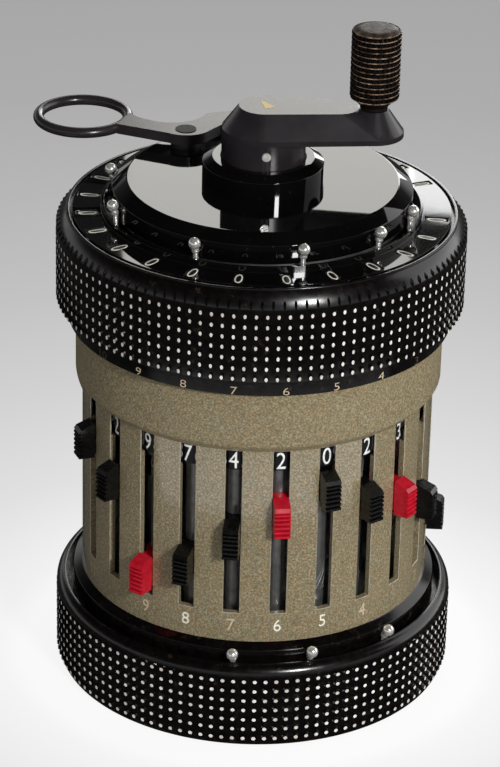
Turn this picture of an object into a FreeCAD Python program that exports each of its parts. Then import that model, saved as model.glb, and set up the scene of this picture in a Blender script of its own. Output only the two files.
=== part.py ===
import FreeCAD, Part
import math
import os
import Sketcher
from types import SimpleNamespace
from FreeCAD import Placement, Rotation, Vector

# A pocket mechanical calculator of the drum form: eleven sliders set a number, the crank on top turns a
# stepped drum, and the dials under the windows of the carriage show the result.
# Sizes are millimetres. The origin is the middle of the bottom face and Z is up. Slot 6 faces -Y, and a
# bearing is measured from -Y towards +X, so slot 1 is on the right and slot 11 on the left.

SIZES = {
    # base ring: how far it stands out from the housing, its side, shoulder, bead track and skirt
    "base_overhang": 4.3,
    "base_wall": 3.1,
    "base_run_out": 0.69,
    "shoulder_inset": 1.2,
    "shoulder_height": 1.9,
    "shoulder_round": 2.0,
    "track_inset": 0.95,
    "track_width": 1.0,
    "track_depth": 2.6,
    "skirt_step": 0.5,
    "skirt_rise": 2.82,
    "shelf_thickness": 3.0,
    # knurled rows round the base ring and the carriage ring
    "knurl_rows": 7,
    "knurl_depth": 0.4,
    "knurl_flat": 0.6,
    "lower_knurl_first": 1.5,
    "lower_knurl_pitch": 1.735,
    "upper_knurl_step": 0.74,
    "upper_knurl_pitch": 1.725,
    # bottom plate, pillars and screws
    "bottom_plate_thickness": 2.5,
    "bottom_boss_wall": 1.8,
    "bottom_boss_height": 2.5,
    "bottom_pillar_inset": 0.6,
    "bottom_pillar_radius": 2.4,
    "screw_radius": 1.0,
    "screw_reach": 4.0,
    "screw_head_radius": 1.8,
    "screw_head_height": 0.7,
    "screw_recess": 0.9,
    # housing
    "housing_radius": 28.2,
    "housing_wall": 1.0,
    "housing_sink": 1.1,
    "housing_side_height": 33.6,
    "flare_reach": 1.07,
    "flare_height": 3.6,
    "flare_round": 6.59,
    "collar_height": 10.5,
    "slot_width": 2.6,
    "slot_margin": 1.85,
    "slot_pitch_angle": 15.0,
    # bearing plates
    "plate_thickness": 2.0,
    "upper_plate_step": 0.4,
    # setting shafts with digit rolls
    "shaft_inset": 3.65,
    "shaft_radius": 1.6,
    "pivot_radius": 0.8,
    "roll_radius": 2.95,
    "roll_height": 3.7,
    "roll_relief": 0.2,
    "groove_depth": 0.65,
    "groove_width": 1.0,
    "groove_lead": 19.5,
    # setting sliders, measured in the place that shows a nought
    "slider_drop": 3.15,
    "digit_pitch": 1.95,
    "knob_width": 2.5,
    "knob_height": 6.4,
    "knob_reach": 2.8,
    "knob_top_fall": 0.9,
    "serration_depth": 0.3,
    "sleeve_wall": 0.6,
    "sleeve_height": 5.0,
    "fork_thickness": 1.0,
    "fork_width": 4.0,
    "follower_radius": 0.35,
    # drive shafts, their gears and the tens-carry slides
    "drive_spacing": 7.35,
    "drive_shaft_radius": 0.8,
    "drive_shaft_tip": 1.0,
    "drive_pinion_lift": 2.0,
    "drive_pinion_height": 5.0,
    "gear_tip_radius": 2.05,
    "gear_root_radius": 1.5,
    "gear_height": 1.8,
    "gear_neck_radius": 1.25,
    "gear_flange_height": 0.6,
    "tens_spacing": 4.1,
    "tens_pin_radius": 0.7,
    "tens_pin_tip": 2.0,
    "tens_arm_lift": 3.5,
    # main shaft, step drum and tens bell
    "main_shaft_radius": 2.2,
    "main_shaft_foot": 3.2,
    "main_shaft_cover": 1.4,
    "drum_gear_gap": 0.35,
    "drum_tooth_height": 1.3,
    "drum_tooth_width": 1.2,
    "drum_foot": 4.5,
    "drum_land": 0.95,
    "drum_drop": 0.75,
    "drum_wall": 1.6,
    "drum_hub_wall": 2.2,
    "bell_height": 4.5,
    "ratchet_radius": 9.0,
    "ratchet_height": 2.5,
    # guide tube and the spring that holds the carriage down
    "guide_tube_wall": 2.7,
    "guide_tube_tip": 0.5,
    "thrust_ring_rim": 0.8,
    "thrust_ring_height": 1.0,
    "spring_slack": 0.9,
    "spring_wall": 1.3,
    "spring_height": 11.0,
    "spring_cap_height": 1.5,
    # carriage ring and frame
    "carriage_gap": 0.1,
    "band_overhang": 1.23,
    "band_height": 2.95,
    "knurl_overhang": 1.9,
    "carriage_run_out": 1.36,
    "carriage_round": 2.66,
    "lip_inset": 2.1,
    "lip_rise": 2.6,
    "lip_width": 0.5,
    "ledge_width": 0.5,
    "frame_step": 0.7,
    "frame_rise": 2.8,
    "channel_width": 2.45,
    # window plate and number dials
    "window_plate_proud": 0.1,
    "window_plate_thickness": 0.7,
    "window_length": 3.7,
    "window_width": 1.55,
    "rim_width": 0.45,
    "rim_rise": 1.0,
    "channel_depth": 0.3,
    "dial_radius": 2.8,
    "dial_window_gap": 0.1,
    "dial_axle_radius": 0.5,
    "dial_shaft_radius": 0.6,
    "bevel_large_radius": 1.95,
    "bevel_small_radius": 1.2,
    # clearing plate, its hub and the clearing lever
    "skirt_wall": 1.1,
    "skirt_lift": 1.0,
    "skirt_height": 3.0,
    "disc_cone_width": 2.2,
    "disc_cone_rise": 1.3,
    "disc_thickness": 1.2,
    "hub_wall": 2.84,
    "hub_height": 2.85,
    "hub_chamfer_width": 1.54,
    "hub_chamfer_height": 0.85,
    "lever_lift": 1.05,
    "lever_thickness": 1.7,
    "lever_pivot_inset": 3.79,
    "lever_screw_radius": 1.2,
    "lever_screw_head_radius": 1.7,
    "lever_screw_head_height": 0.6,
    "lever_boss_radius": 2.4,
    "finger_ring_back": 15.65,
    "finger_ring_side": 8.9,
    "finger_ring_radius": 7.2,
    "finger_ring_wire": 0.85,
    "lever_tail_overhang": 0.2,
    "lever_tail_width": 5.5,
    # bead markers
    "bead_radius": 0.9,
    "upper_bead_lean": 0.595,
    "upper_bead_rise": 2.73,
    "upper_bead_neck_rise": 1.84,
    "upper_bead_foot_radius": 0.35,
    "lower_bead_lean": 0.75,
    "lower_bead_rise": 1.5,
    "lower_bead_neck_rise": 0.4,
    "lower_bead_foot_radius": 0.25,
    # crank
    "crank_collar_radius": 6.6,
    "crank_collar_gap": 1.0,
    "crank_height": 4.0,
    "crank_edge": 0.85,
    "crank_rise": 3.55,
    "crank_throw": 16.9,
    "crank_turned_angle": -8.8,
    "crank_top_inset": 2.6,
    "crank_top_end_inset": 1.8,
    "crank_top_end_reach": 11.5,
    "crank_end_radius": 4.8,
    "crank_cone_inset": 0.05,
    "crank_cone_top_radius": 2.3,
    "crank_pin_radius": 0.7,
    "crank_pin_drop": 1.7,
    "crank_pin_bearing": -4.0,
    # crank knob on its stud
    "stud_radius": 1.5,
    "stud_cover": 2.6,
    "knob_neck_radius": 2.16,
    "knob_neck_height": 0.6,
    "knob_flare_height": 1.4,
    "crank_knob_radius": 3.85,
    "knob_rib_count": 13,
    "knob_rib_pitch": 0.83,
    "knob_rib_depth": 0.25,
    "knob_top_rise": 0.41,
    "knob_top_inset": 1.25,
    "knob_top_round": 1.6,
    # reversing lever on the back
    "reversing_rise": 16.15,
    "reversing_travel": 6.0,
    "reversing_knob_width": 3.6,
    "reversing_knob_height": 6.0,
    "reversing_knob_reach": 2.2,
    # clearances
    "running_clearance": 0.1,
    "pivot_clearance": 0.05,
    "slide_clearance": 0.15,
    "gap": 0.3,
}

SLOT_COUNT = 11
MIDDLE_SLOT = 6
SLIDER_DIGITS = [8, 5, 3, 2, 0, 2, 4, 7, 9, 2, 0]
RESULT_DIALS = 15
COUNTER_DIALS = 8
FIRST_RESULT_BEARING = 75.0
FIRST_COUNTER_BEARING = -150.0
LOWER_BEAD_BEARINGS = [-13.6, 9.7, 35.9]
UPPER_BEAD_BEARINGS = [-111.4, -76.9, -32.2, 6.9, 39.0, 62.3]
BOTTOM_PILLAR_BEARINGS = [0.0, 120.0, 240.0]
FRAME_PILLAR_BEARINGS = [100.0, 140.0, 180.0, 220.0, 260.0]
REVERSING_BEARING = 180.0
FULL_TURN = 360.0
GEAR_TEETH = 10
RATCHET_TEETH = 24
DRUM_STEPS = 9
DRUM_TOOTH_SPACING = 18.0
SLIDER_SERRATIONS = 7
REVERSING_SERRATIONS = 6
LEVER_PIVOT_BEARING = -143.19517
UP = Vector(0, 0, 1)

DOC = FreeCAD.newDocument("mechanical_calculator")
SHEET = DOC.addObject("Spreadsheet::Sheet", "Sizes")
for row, (alias, number) in enumerate(SIZES.items(), start=1):
    SHEET.set("A%d" % row, alias)
    SHEET.set("B%d" % row, str(number))
    SHEET.setAlias("B%d" % row, alias)
DOC.recompute()


class Size:
    """A size known both as a formula on the sheet and as a number."""

    def __init__(self, formula, value):
        self.formula = formula
        self.value = value

    def __add__(self, other):
        other = as_size(other)
        return Size("(%s + %s)" % (self.formula, other.formula), self.value + other.value)

    def __sub__(self, other):
        other = as_size(other)
        return Size("(%s - %s)" % (self.formula, other.formula), self.value - other.value)

    def __mul__(self, other):
        other = as_size(other)
        return Size("(%s * %s)" % (self.formula, other.formula), self.value * other.value)

    def __truediv__(self, other):
        other = as_size(other)
        return Size("(%s / %s)" % (self.formula, other.formula), self.value / other.value)

    def __radd__(self, other):
        return as_size(other) + self

    def __rsub__(self, other):
        return as_size(other) - self

    def __rmul__(self, other):
        return as_size(other) * self

    def __neg__(self):
        return as_size(0.0) - self


def as_size(value):
    """The value itself if it is a Size, or a Size of a plain number."""
    if isinstance(value, Size):
        return value
    return Size("(%r)" % float(value), float(value))


S = SimpleNamespace(**{alias: Size("Sizes." + alias, SHEET.get(alias)) for alias in SIZES})

# Sizes that follow others. Radii first, from the housing outwards and inwards

S.collar_radius = S.housing_radius + S.flare_reach
S.base_radius = S.housing_radius + S.base_overhang
S.base_bore = S.base_radius - S.base_wall
S.shoulder_radius = S.base_radius - S.shoulder_inset
S.lower_track_radius = S.shoulder_radius - S.track_inset
S.bottom_pillar_circle = S.base_bore - S.bottom_pillar_inset - S.bottom_pillar_radius
S.shelf_bore = S.bottom_pillar_circle - S.bottom_pillar_radius
S.bottom_boss_radius = S.main_shaft_radius + S.bottom_boss_wall
S.slider_reach = S.housing_radius + S.knob_reach
S.reversing_reach = S.housing_radius + S.reversing_knob_reach
S.shaft_circle = S.housing_radius - S.shaft_inset
S.drive_circle = S.shaft_circle - S.drive_spacing
S.tens_circle = S.drive_circle + S.tens_spacing
S.drum_tooth_radius = S.drive_circle - S.gear_tip_radius - S.drum_gear_gap
S.drum_radius = S.drum_tooth_radius - S.drum_tooth_height
S.drum_hub_radius = S.main_shaft_radius + S.drum_hub_wall
S.guide_tube_radius = S.main_shaft_radius + S.running_clearance + S.guide_tube_wall
S.spring_bore = S.guide_tube_radius + S.spring_slack
S.spring_radius = S.spring_bore + S.spring_wall
S.thrust_ring_radius = S.spring_radius + S.thrust_ring_rim
S.band_radius = S.collar_radius + S.band_overhang
S.carriage_radius = S.band_radius + S.knurl_overhang
S.carriage_lip_radius = S.carriage_radius - S.lip_inset
S.window_plate_radius = S.carriage_lip_radius - S.lip_width
S.carriage_bore = S.window_plate_radius - S.ledge_width
S.frame_radius = S.carriage_bore - S.frame_step
S.window_inner_radius = S.carriage_bore - S.window_length
S.dial_inner_radius = S.window_inner_radius + S.running_clearance
S.dial_outer_radius = S.carriage_bore - S.gap
S.rim_outer_radius = S.window_inner_radius - S.gap
S.rim_inner_radius = S.rim_outer_radius - S.rim_width
S.frame_wall_radius = S.rim_inner_radius - S.channel_width
S.disc_cone_radius = S.frame_wall_radius + S.running_clearance + S.skirt_wall
S.disc_radius = S.disc_cone_radius - S.disc_cone_width
S.hub_radius = S.crank_collar_radius + S.running_clearance + S.hub_wall
S.hub_top_radius = S.hub_radius - S.hub_chamfer_width
S.lever_tail_outer_radius = S.disc_radius + S.lever_tail_overhang
S.lever_tail_inner_radius = S.lever_tail_outer_radius - S.lever_tail_width
S.lever_pivot_circle = S.disc_radius - S.lever_pivot_inset
S.lever_pivot_x = S.lever_pivot_circle * math.sin(math.radians(LEVER_PIVOT_BEARING))
S.lever_pivot_y = S.lever_pivot_circle * -math.cos(math.radians(LEVER_PIVOT_BEARING))
S.finger_ring_x = S.lever_pivot_x - S.finger_ring_back
S.finger_ring_y = S.lever_pivot_y + S.finger_ring_side
S.lower_bead_out = S.lower_track_radius + S.lower_bead_lean
S.upper_track_radius = (S.rim_inner_radius + S.disc_cone_radius) / 2
S.upper_bead_out = S.upper_track_radius + S.upper_bead_lean
S.crank_top_radius = S.crank_collar_radius - S.crank_top_inset
S.crank_top_end_radius = S.crank_end_radius - S.crank_top_end_inset
S.knob_top_flat_radius = S.crank_knob_radius - S.knob_top_inset

# Heights, from the bottom up

knurl_steps = S.knurl_rows - 1
S.base_side_top = S.lower_knurl_first + S.lower_knurl_pitch * knurl_steps + S.base_run_out
S.shoulder_top = S.base_side_top + S.shoulder_height
S.lower_track_floor = S.shoulder_top - S.track_depth
S.lower_bead_height = S.shoulder_top + S.lower_bead_rise
S.lower_bead_neck = S.shoulder_top + S.lower_bead_neck_rise
S.skirt_foot = S.shoulder_top - S.skirt_step
S.skirt_top = S.skirt_foot + S.skirt_rise
S.screw_tip_height = S.bottom_plate_thickness + S.screw_reach
S.housing_foot = S.shoulder_top - S.housing_sink
S.flare_foot = S.housing_foot + S.housing_side_height
S.flare_top = S.flare_foot + S.flare_height
S.housing_top = S.flare_top + S.collar_height
S.upper_plate_underside = S.flare_top + S.upper_plate_step
S.upper_plate_top = S.upper_plate_underside + S.plate_thickness
S.roll_bottom = S.flare_top - S.roll_height
S.slider_middle = S.roll_bottom - S.slider_drop
S.slider_travel = S.digit_pitch * DRUM_STEPS
S.slot_bottom = S.slider_middle - S.slider_travel - S.sleeve_height / 2 - S.slot_margin
S.slot_top = S.flare_top
S.reversing_middle = S.slot_bottom + S.reversing_rise
S.drum_top = S.slider_middle - S.drum_drop
S.drum_tooth_bottom = S.drum_top - S.slider_travel - S.drum_land
S.drum_bottom = S.drum_tooth_bottom - S.drum_foot
S.drive_pinion_bottom = S.upper_plate_top + S.drive_pinion_lift
S.drive_shaft_top = S.drive_pinion_bottom + S.drive_pinion_height + S.drive_shaft_tip
S.tens_arm_height = S.upper_plate_top + S.tens_arm_lift
S.tens_pin_top = S.tens_arm_height + S.tens_pin_tip
S.carriage_bottom = S.housing_top + S.carriage_gap
S.band_top = S.carriage_bottom + S.band_height
S.upper_knurl_first = S.band_top + S.upper_knurl_step
S.carriage_side_top = S.upper_knurl_first + S.upper_knurl_pitch * knurl_steps + S.carriage_run_out
S.carriage_lip_height = S.carriage_side_top + S.lip_rise
S.frame_underside = S.carriage_bottom + S.frame_rise
S.frame_top = S.frame_underside + S.plate_thickness
S.thrust_top = S.frame_top + S.thrust_ring_height
S.spring_top = S.thrust_top + S.spring_height
S.cap_top = S.spring_top + S.spring_cap_height
S.guide_tube_top = S.cap_top + S.guide_tube_tip
S.window_plate_top = S.carriage_lip_height + S.window_plate_proud
S.rim_height = S.window_plate_top + S.rim_rise
S.channel_floor = S.window_plate_top - S.channel_depth
S.upper_bead_height = S.rim_height + S.upper_bead_rise
S.upper_bead_neck = S.rim_height + S.upper_bead_neck_rise
S.disc_skirt_bottom = S.channel_floor + S.skirt_lift
S.disc_cone_height = S.disc_skirt_bottom + S.skirt_height
S.disc_top = S.disc_cone_height + S.disc_cone_rise
S.hub_side_top = S.disc_top + S.hub_height
S.hub_top = S.hub_side_top + S.hub_chamfer_height
S.lever_underside = S.disc_top + S.lever_lift
S.crank_collar_bottom = S.guide_tube_top + S.crank_collar_gap
S.crank_underside = S.hub_top + S.crank_height
S.crank_pin_height = S.crank_underside - S.crank_pin_drop
S.crank_edge_top = S.crank_underside + S.crank_edge
S.crank_top = S.crank_edge_top + S.crank_rise
S.main_shaft_top = S.crank_top - S.main_shaft_cover
S.knob_neck_top = S.crank_top + S.knob_neck_height
S.knob_rib_bottom = S.knob_neck_top + S.knob_flare_height
S.knob_top = S.knob_rib_bottom + S.knob_rib_pitch * S.knob_rib_count + S.knob_top_rise
S.stud_top = S.knob_top - S.stud_cover
NODES = []


def node(thing, label):
    """Marks an object as a finished piece and gives it the name of its file."""
    thing.Label = label
    NODES.append(thing)
    return thing


def bind(thing, **sizes):
    """Ties properties of an object to formulas on the sheet."""
    for name, size in sizes.items():
        thing.setExpression(name, as_size(size).formula)


def put(thing, x=0.0, y=0.0, z=0.0):
    """Ties the place of an object to formulas on the sheet."""
    bind(thing, **{"Placement.Base.x": x, "Placement.Base.y": y, "Placement.Base.z": z})


def rod(name, radius, bottom, top, x=0.0, y=0.0):
    """An upright cylinder between two heights."""
    thing = DOC.addObject("Part::Cylinder", name)
    bind(thing, Radius=radius, Height=top - bottom)
    put(thing, x, y, bottom)
    return thing


def outward_rod(name, radius, inner, outer, height):
    """A cylinder that lies along the radius towards -Y."""
    thing = DOC.addObject("Part::Cylinder", name)
    bind(thing, Radius=radius, Height=outer - inner)
    thing.Placement = Placement(Vector(), Rotation(Vector(1, 0, 0), 90))
    put(thing, 0.0, -as_size(inner), height)
    return thing


def block(name, width, inner, outer, bottom, top):
    """A box centred on the -Y radius, between two distances from the axis and two heights."""
    thing = DOC.addObject("Part::Box", name)
    bind(thing, Length=width, Width=outer - inner, Height=top - bottom)
    put(thing, -(as_size(width) / 2.0), -as_size(outer), bottom)
    return thing


def cone(name, bottom_radius, top_radius, bottom, top, x=0.0, y=0.0):
    """An upright cone between two heights."""
    thing = DOC.addObject("Part::Cone", name)
    bind(thing, Radius1=bottom_radius, Radius2=top_radius, Height=top - bottom)
    put(thing, x, y, bottom)
    return thing


def group(name, things):
    """Several solids as one object."""
    thing = DOC.addObject("Part::Compound", name)
    thing.Links = things
    return thing


def copy_at(name, things, bearing, rise=0.0, spin=0.0):
    """A copy of solids made on the -Y radius, turned to a bearing, raised, and spun on a setting shaft."""
    thing = group(name, things)
    axis = Vector(0, -S.shaft_circle.value, 0)
    spun = Placement(Vector(0, 0, rise), Rotation(UP, spin), axis)
    thing.Placement = Placement(Vector(), Rotation(UP, bearing)).multiply(spun)
    return thing


def ring_of(name, things, bearings):
    """Copies of solids at several bearings, as one object."""
    copies = [copy_at("%s_%d" % (name, i), things, bearing) for i, bearing in enumerate(bearings, start=1)]
    return group(name, copies)


def cut(name, base, tools):
    """A solid with other solids taken out of it."""
    thing = DOC.addObject("Part::Cut", name)
    thing.Base = base
    thing.Tool = tools[0] if len(tools) == 1 else group(name + "_tools", tools)
    return thing


def fuse(name, things):
    """Solids joined to one."""
    thing = DOC.addObject("Part::MultiFuse", name)
    thing.Shapes = things
    return thing


def arc_middle(start, end, radius):
    """The middle of an arc between two corners; it bulges to the right of the way for a positive radius."""
    chord = end - start
    half = chord.Length / 2
    sagitta = abs(radius) - math.sqrt(radius * radius - half * half)
    right = Vector(chord.y, -chord.x, 0).normalize()
    return (start + end) * 0.5 + right * math.copysign(sagitta, radius)


def pin_down(sketch, geometry, position, corner):
    """Fixes one corner of a sketch at a radius and a height from the sheet."""
    for kind, size, axis in (("DistanceX", corner[0], -2), ("DistanceY", corner[1], -1)):
        size = as_size(size)
        if size.value == 0.0:
            sketch.addConstraint(Sketcher.Constraint("PointOnObject", geometry, position, axis))
        else:
            index = sketch.addConstraint(Sketcher.Constraint(kind, -1, 1, geometry, position, size.value))
            sketch.setExpression("Constraints[%d]" % index, size.formula)


def turned(name, outline):
    """A body turned about the upright axis. The outline lists (radius, height) corners anticlockwise; a third
    number makes the side that leads to the corner an arc of that radius, hollow where it is negative."""
    body = DOC.addObject("PartDesign::Body", name + "_body")
    plane = [feature for feature in body.Origin.OriginFeatures if feature.Role == "XZ_Plane"][0]
    sketch = body.newObject("Sketcher::SketchObject", name + "_outline")
    sketch.AttachmentSupport = [(plane, "")]
    sketch.MapMode = "FlatFace"
    corners = [Vector(as_size(corner[0]).value, as_size(corner[1]).value, 0) for corner in outline]
    ends = []
    for index, corner in enumerate(outline):
        start = corners[index - 1]
        end = corners[index]
        if len(corner) == 3:
            middle = arc_middle(start, end, as_size(corner[2]).value)
            side = sketch.addGeometry(Part.Arc(start, middle, end), False)
            first_gap = (sketch.getPoint(side, 1) - start).Length
            second_gap = (sketch.getPoint(side, 2) - start).Length
            ends.append((side, 1, 2) if first_gap < second_gap else (side, 2, 1))
        else:
            side = sketch.addGeometry(Part.LineSegment(start, end), False)
            ends.append((side, 1, 2))
    for index, corner in enumerate(outline):
        side, _, last = ends[index]
        next_side, next_first, _ = ends[(index + 1) % len(ends)]
        sketch.addConstraint(Sketcher.Constraint("Coincident", side, last, next_side, next_first))
        pin_down(sketch, side, last, corner)
        if len(corner) == 3:
            radius = as_size(corner[2])
            size = radius if radius.value > 0 else -radius
            number = sketch.addConstraint(Sketcher.Constraint("Radius", side, size.value))
            sketch.setExpression("Constraints[%d]" % number, size.formula)
    revolution = body.newObject("PartDesign::Revolution", name + "_turned")
    revolution.Profile = sketch
    revolution.ReferenceAxis = (sketch, ["V_Axis"])
    revolution.Angle = FULL_TURN
    return body


def knurl_rows(radius, first, pitch):
    """Corners of the knurled rows up the side of a ring, with a valley between each two."""
    corners = []
    rows = int(S.knurl_rows.value)
    for row in range(rows):
        middle = first + pitch * row
        corners.append((radius, middle - S.knurl_flat / 2))
        corners.append((radius, middle + S.knurl_flat / 2))
        if row < rows - 1:
            corners.append((radius - S.knurl_depth, middle + pitch / 2))
    return corners


# Half the width of a gear tooth at its root and its tip, as shares of the space from tooth to tooth
ROOT_SHARE = 0.3
TIP_SHARE = 0.15


def gear(name, teeth, tip_radius, root_radius, bottom, top, x=0.0, y=0.0):
    """A small toothed wheel with straight-sided teeth."""
    step = 2 * math.pi / teeth
    corners = []
    flanks = [(-ROOT_SHARE, root_radius), (-TIP_SHARE, tip_radius),
              (TIP_SHARE, tip_radius), (ROOT_SHARE, root_radius)]
    for tooth in range(teeth):
        for share, radius in flanks:
            angle = (tooth + share) * step
            corners.append(Vector(radius * math.cos(angle), radius * math.sin(angle), 0))
    face = Part.Face(Part.makePolygon(corners + corners[:1]))
    thing = DOC.addObject("Part::Feature", name)
    thing.Shape = face.extrude(Vector(0, 0, top - bottom))
    thing.Placement = Placement(Vector(x, y, bottom), Rotation())
    return thing


def slot_bearing(slot):
    """The bearing of a setting slot, counted from the middle slot."""
    return (MIDDLE_SLOT - slot) * S.slot_pitch_angle.value


SLOT_BEARINGS = [slot_bearing(slot) for slot in range(1, SLOT_COUNT + 1)]
RESULT_BEARINGS = [FIRST_RESULT_BEARING - i * S.slot_pitch_angle.value for i in range(RESULT_DIALS)]
COUNTER_BEARINGS = [FIRST_COUNTER_BEARING - i * S.slot_pitch_angle.value for i in range(COUNTER_DIALS)]
DIAL_BEARINGS = RESULT_BEARINGS + COUNTER_BEARINGS


# Base ring and what closes it

shelf_underside = S.housing_foot - S.shelf_thickness
track_half = S.track_width / 2
base_ring = turned("base_ring", [
    (S.base_bore, 0.0),
    (S.base_radius - S.knurl_depth, 0.0),
    *knurl_rows(S.base_radius, S.lower_knurl_first, S.lower_knurl_pitch),
    (S.base_radius, S.base_side_top),
    (S.shoulder_radius, S.shoulder_top, S.shoulder_round),
    (S.lower_track_radius + track_half, S.shoulder_top),
    (S.lower_track_radius + track_half, S.lower_track_floor),
    (S.lower_track_radius - track_half, S.lower_track_floor),
    (S.lower_track_radius - track_half, S.skirt_foot),
    (S.housing_radius, S.skirt_top),
    (S.housing_radius, S.housing_foot),
    (S.shelf_bore, S.housing_foot),
    (S.shelf_bore, shelf_underside),
    (S.base_bore, shelf_underside),
])
node(base_ring, "base_ring")

plate_top = S.bottom_plate_thickness
boss_top = plate_top + S.bottom_boss_height
screw_hole = fuse("screw_hole", [
    rod("screw_hole_shank", S.screw_radius, 0.0, S.screw_tip_height, 0.0, -S.bottom_pillar_circle),
    rod("screw_hole_recess", S.screw_head_radius, 0.0, S.screw_recess, 0.0, -S.bottom_pillar_circle),
])
screw_holes = ring_of("screw_holes", [screw_hole], BOTTOM_PILLAR_BEARINGS)
bottom_plate_blank = fuse("bottom_plate_blank", [
    rod("bottom_plate_disc", S.base_bore, 0.0, plate_top),
    rod("bottom_plate_boss", S.bottom_boss_radius, plate_top, boss_top),
])
shaft_bush_bore = rod("shaft_bush_bore", S.main_shaft_radius + S.pivot_clearance, plate_top, boss_top)
node(cut("bottom_plate_cut", bottom_plate_blank, [shaft_bush_bore, screw_holes]), "bottom_plate")

screw_form = fuse("screw_form", [
    rod("screw_shank", S.screw_radius, S.screw_recess, S.screw_tip_height, 0.0, -S.bottom_pillar_circle),
    rod("screw_head", S.screw_head_radius, S.screw_recess - S.screw_head_height, S.screw_recess,
        0.0, -S.bottom_pillar_circle),
])
node(ring_of("bottom_screw_set", [screw_form], BOTTOM_PILLAR_BEARINGS), "bottom_screws")


# Bearing plates and pillars

lower_plate_top = S.housing_foot + S.plate_thickness
housing_bore = S.housing_radius - S.housing_wall
lower_pillar_form = cut(
    "lower_pillar_form",
    rod("lower_pillar_rod", S.bottom_pillar_radius, plate_top, shelf_underside, 0.0, -S.bottom_pillar_circle),
    [rod("lower_pillar_hole", S.screw_radius, plate_top, S.screw_tip_height, 0.0, -S.bottom_pillar_circle)],
)
upper_pillar_form = rod("upper_pillar_form", S.shaft_radius, lower_plate_top, S.upper_plate_underside,
                        0.0, -S.shaft_circle)
node(group("frame_pillar_set", [
    ring_of("lower_pillars", [lower_pillar_form], BOTTOM_PILLAR_BEARINGS),
    ring_of("upper_pillars", [upper_pillar_form], FRAME_PILLAR_BEARINGS),
]), "frame_pillars")


def bearing_plate(label, bottom, top, middle_bore, extra_holes):
    """A round plate with the holes of the setting shafts, the drive shafts and the middle."""
    blank = rod(label + "_blank", housing_bore, bottom, top)
    pivot_bore = S.pivot_radius + S.pivot_clearance
    pivot_hole = rod(label + "_pivot_hole", pivot_bore, bottom, top, 0.0, -S.shaft_circle)
    drive_hole = rod(label + "_drive_hole", S.drive_shaft_radius, bottom, top, 0.0, -S.drive_circle)
    holes = [
        rod(label + "_middle_hole", middle_bore, bottom, top),
        ring_of(label + "_pivot_holes", [pivot_hole], SLOT_BEARINGS),
        ring_of(label + "_drive_holes", [drive_hole], DIAL_BEARINGS),
    ]
    return node(cut(label + "_cut", blank, holes + extra_holes), label)


TENS_BEARINGS = RESULT_BEARINGS[1:] + COUNTER_BEARINGS[1:]
tens_hole = rod("tens_hole", S.tens_pin_radius, S.upper_plate_underside, S.upper_plate_top,
                0.0, -S.tens_circle)
bearing_plate("lower_bearing_plate", S.housing_foot, lower_plate_top,
              S.main_shaft_radius + S.pivot_clearance, [])
bearing_plate("upper_bearing_plate", S.upper_plate_underside, S.upper_plate_top,
              S.guide_tube_radius, [ring_of("tens_holes", [tens_hole], TENS_BEARINGS)])


# Housing with the slots of the sliders

roll_room_radius = S.shaft_circle + S.roll_radius + S.roll_relief
roll_room_bottom = S.roll_bottom - S.gap
roll_room_top = S.upper_plate_underside - S.pivot_clearance
housing_shell = turned("housing_shell", [
    (housing_bore, S.housing_foot),
    (S.housing_radius, S.housing_foot),
    (S.housing_radius, S.flare_foot),
    (S.collar_radius, S.flare_top, -S.flare_round),
    (S.collar_radius, S.housing_top),
    (housing_bore, S.housing_top),
    (housing_bore, roll_room_top),
    (roll_room_radius, roll_room_top),
    (roll_room_radius, roll_room_bottom),
    (housing_bore, roll_room_bottom),
])
slot_inside = housing_bore - S.housing_wall
slot_outside = S.collar_radius + S.housing_wall
slot_tool = block("slot_tool", S.slot_width, slot_inside, slot_outside, S.slot_bottom, S.slot_top)
reversing_half = S.reversing_knob_height / 2
rear_slot_tool = block(
    "rear_slot_tool", S.slot_width, slot_inside, slot_outside,
    S.reversing_middle - S.reversing_travel - reversing_half, S.reversing_middle + reversing_half,
)
node(cut("housing_cut", housing_shell, [
    ring_of("slot_tools", [slot_tool], SLOT_BEARINGS),
    copy_at("rear_slot", [rear_slot_tool], REVERSING_BEARING),
]), "housing")


# Drive shafts with their pinions, and the tens-carry slides

drive_shaft_form = fuse("drive_shaft_form", [
    rod("drive_shaft_rod", S.drive_shaft_radius, S.housing_foot, S.drive_shaft_top, 0.0, -S.drive_circle),
    gear("drive_pinion", GEAR_TEETH, S.gear_tip_radius.value, S.gear_root_radius.value,
         S.drive_pinion_bottom.value, S.drive_pinion_bottom.value + S.drive_pinion_height.value,
         0.0, -S.drive_circle.value),
])
node(ring_of("drive_shaft_set", [drive_shaft_form], DIAL_BEARINGS), "drive_shafts")

tens_slide_form = fuse("tens_slide_form", [
    rod("tens_pin", S.tens_pin_radius, S.upper_plate_underside, S.tens_pin_top, 0.0, -S.tens_circle),
    block("tens_arm", S.tens_pin_radius * 2, S.drive_circle + S.gear_tip_radius + S.gap, S.tens_circle,
          S.tens_arm_height, S.tens_arm_height + S.fork_thickness),
])
node(ring_of("tens_slide_set", [tens_slide_form], TENS_BEARINGS), "tens_slides")


# Setting shafts, each with a spiral groove and a digit roll

sleeve_bore = S.shaft_radius + S.running_clearance
sleeve_radius = sleeve_bore + S.sleeve_wall
roll_top = S.roll_bottom + S.roll_height


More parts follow.
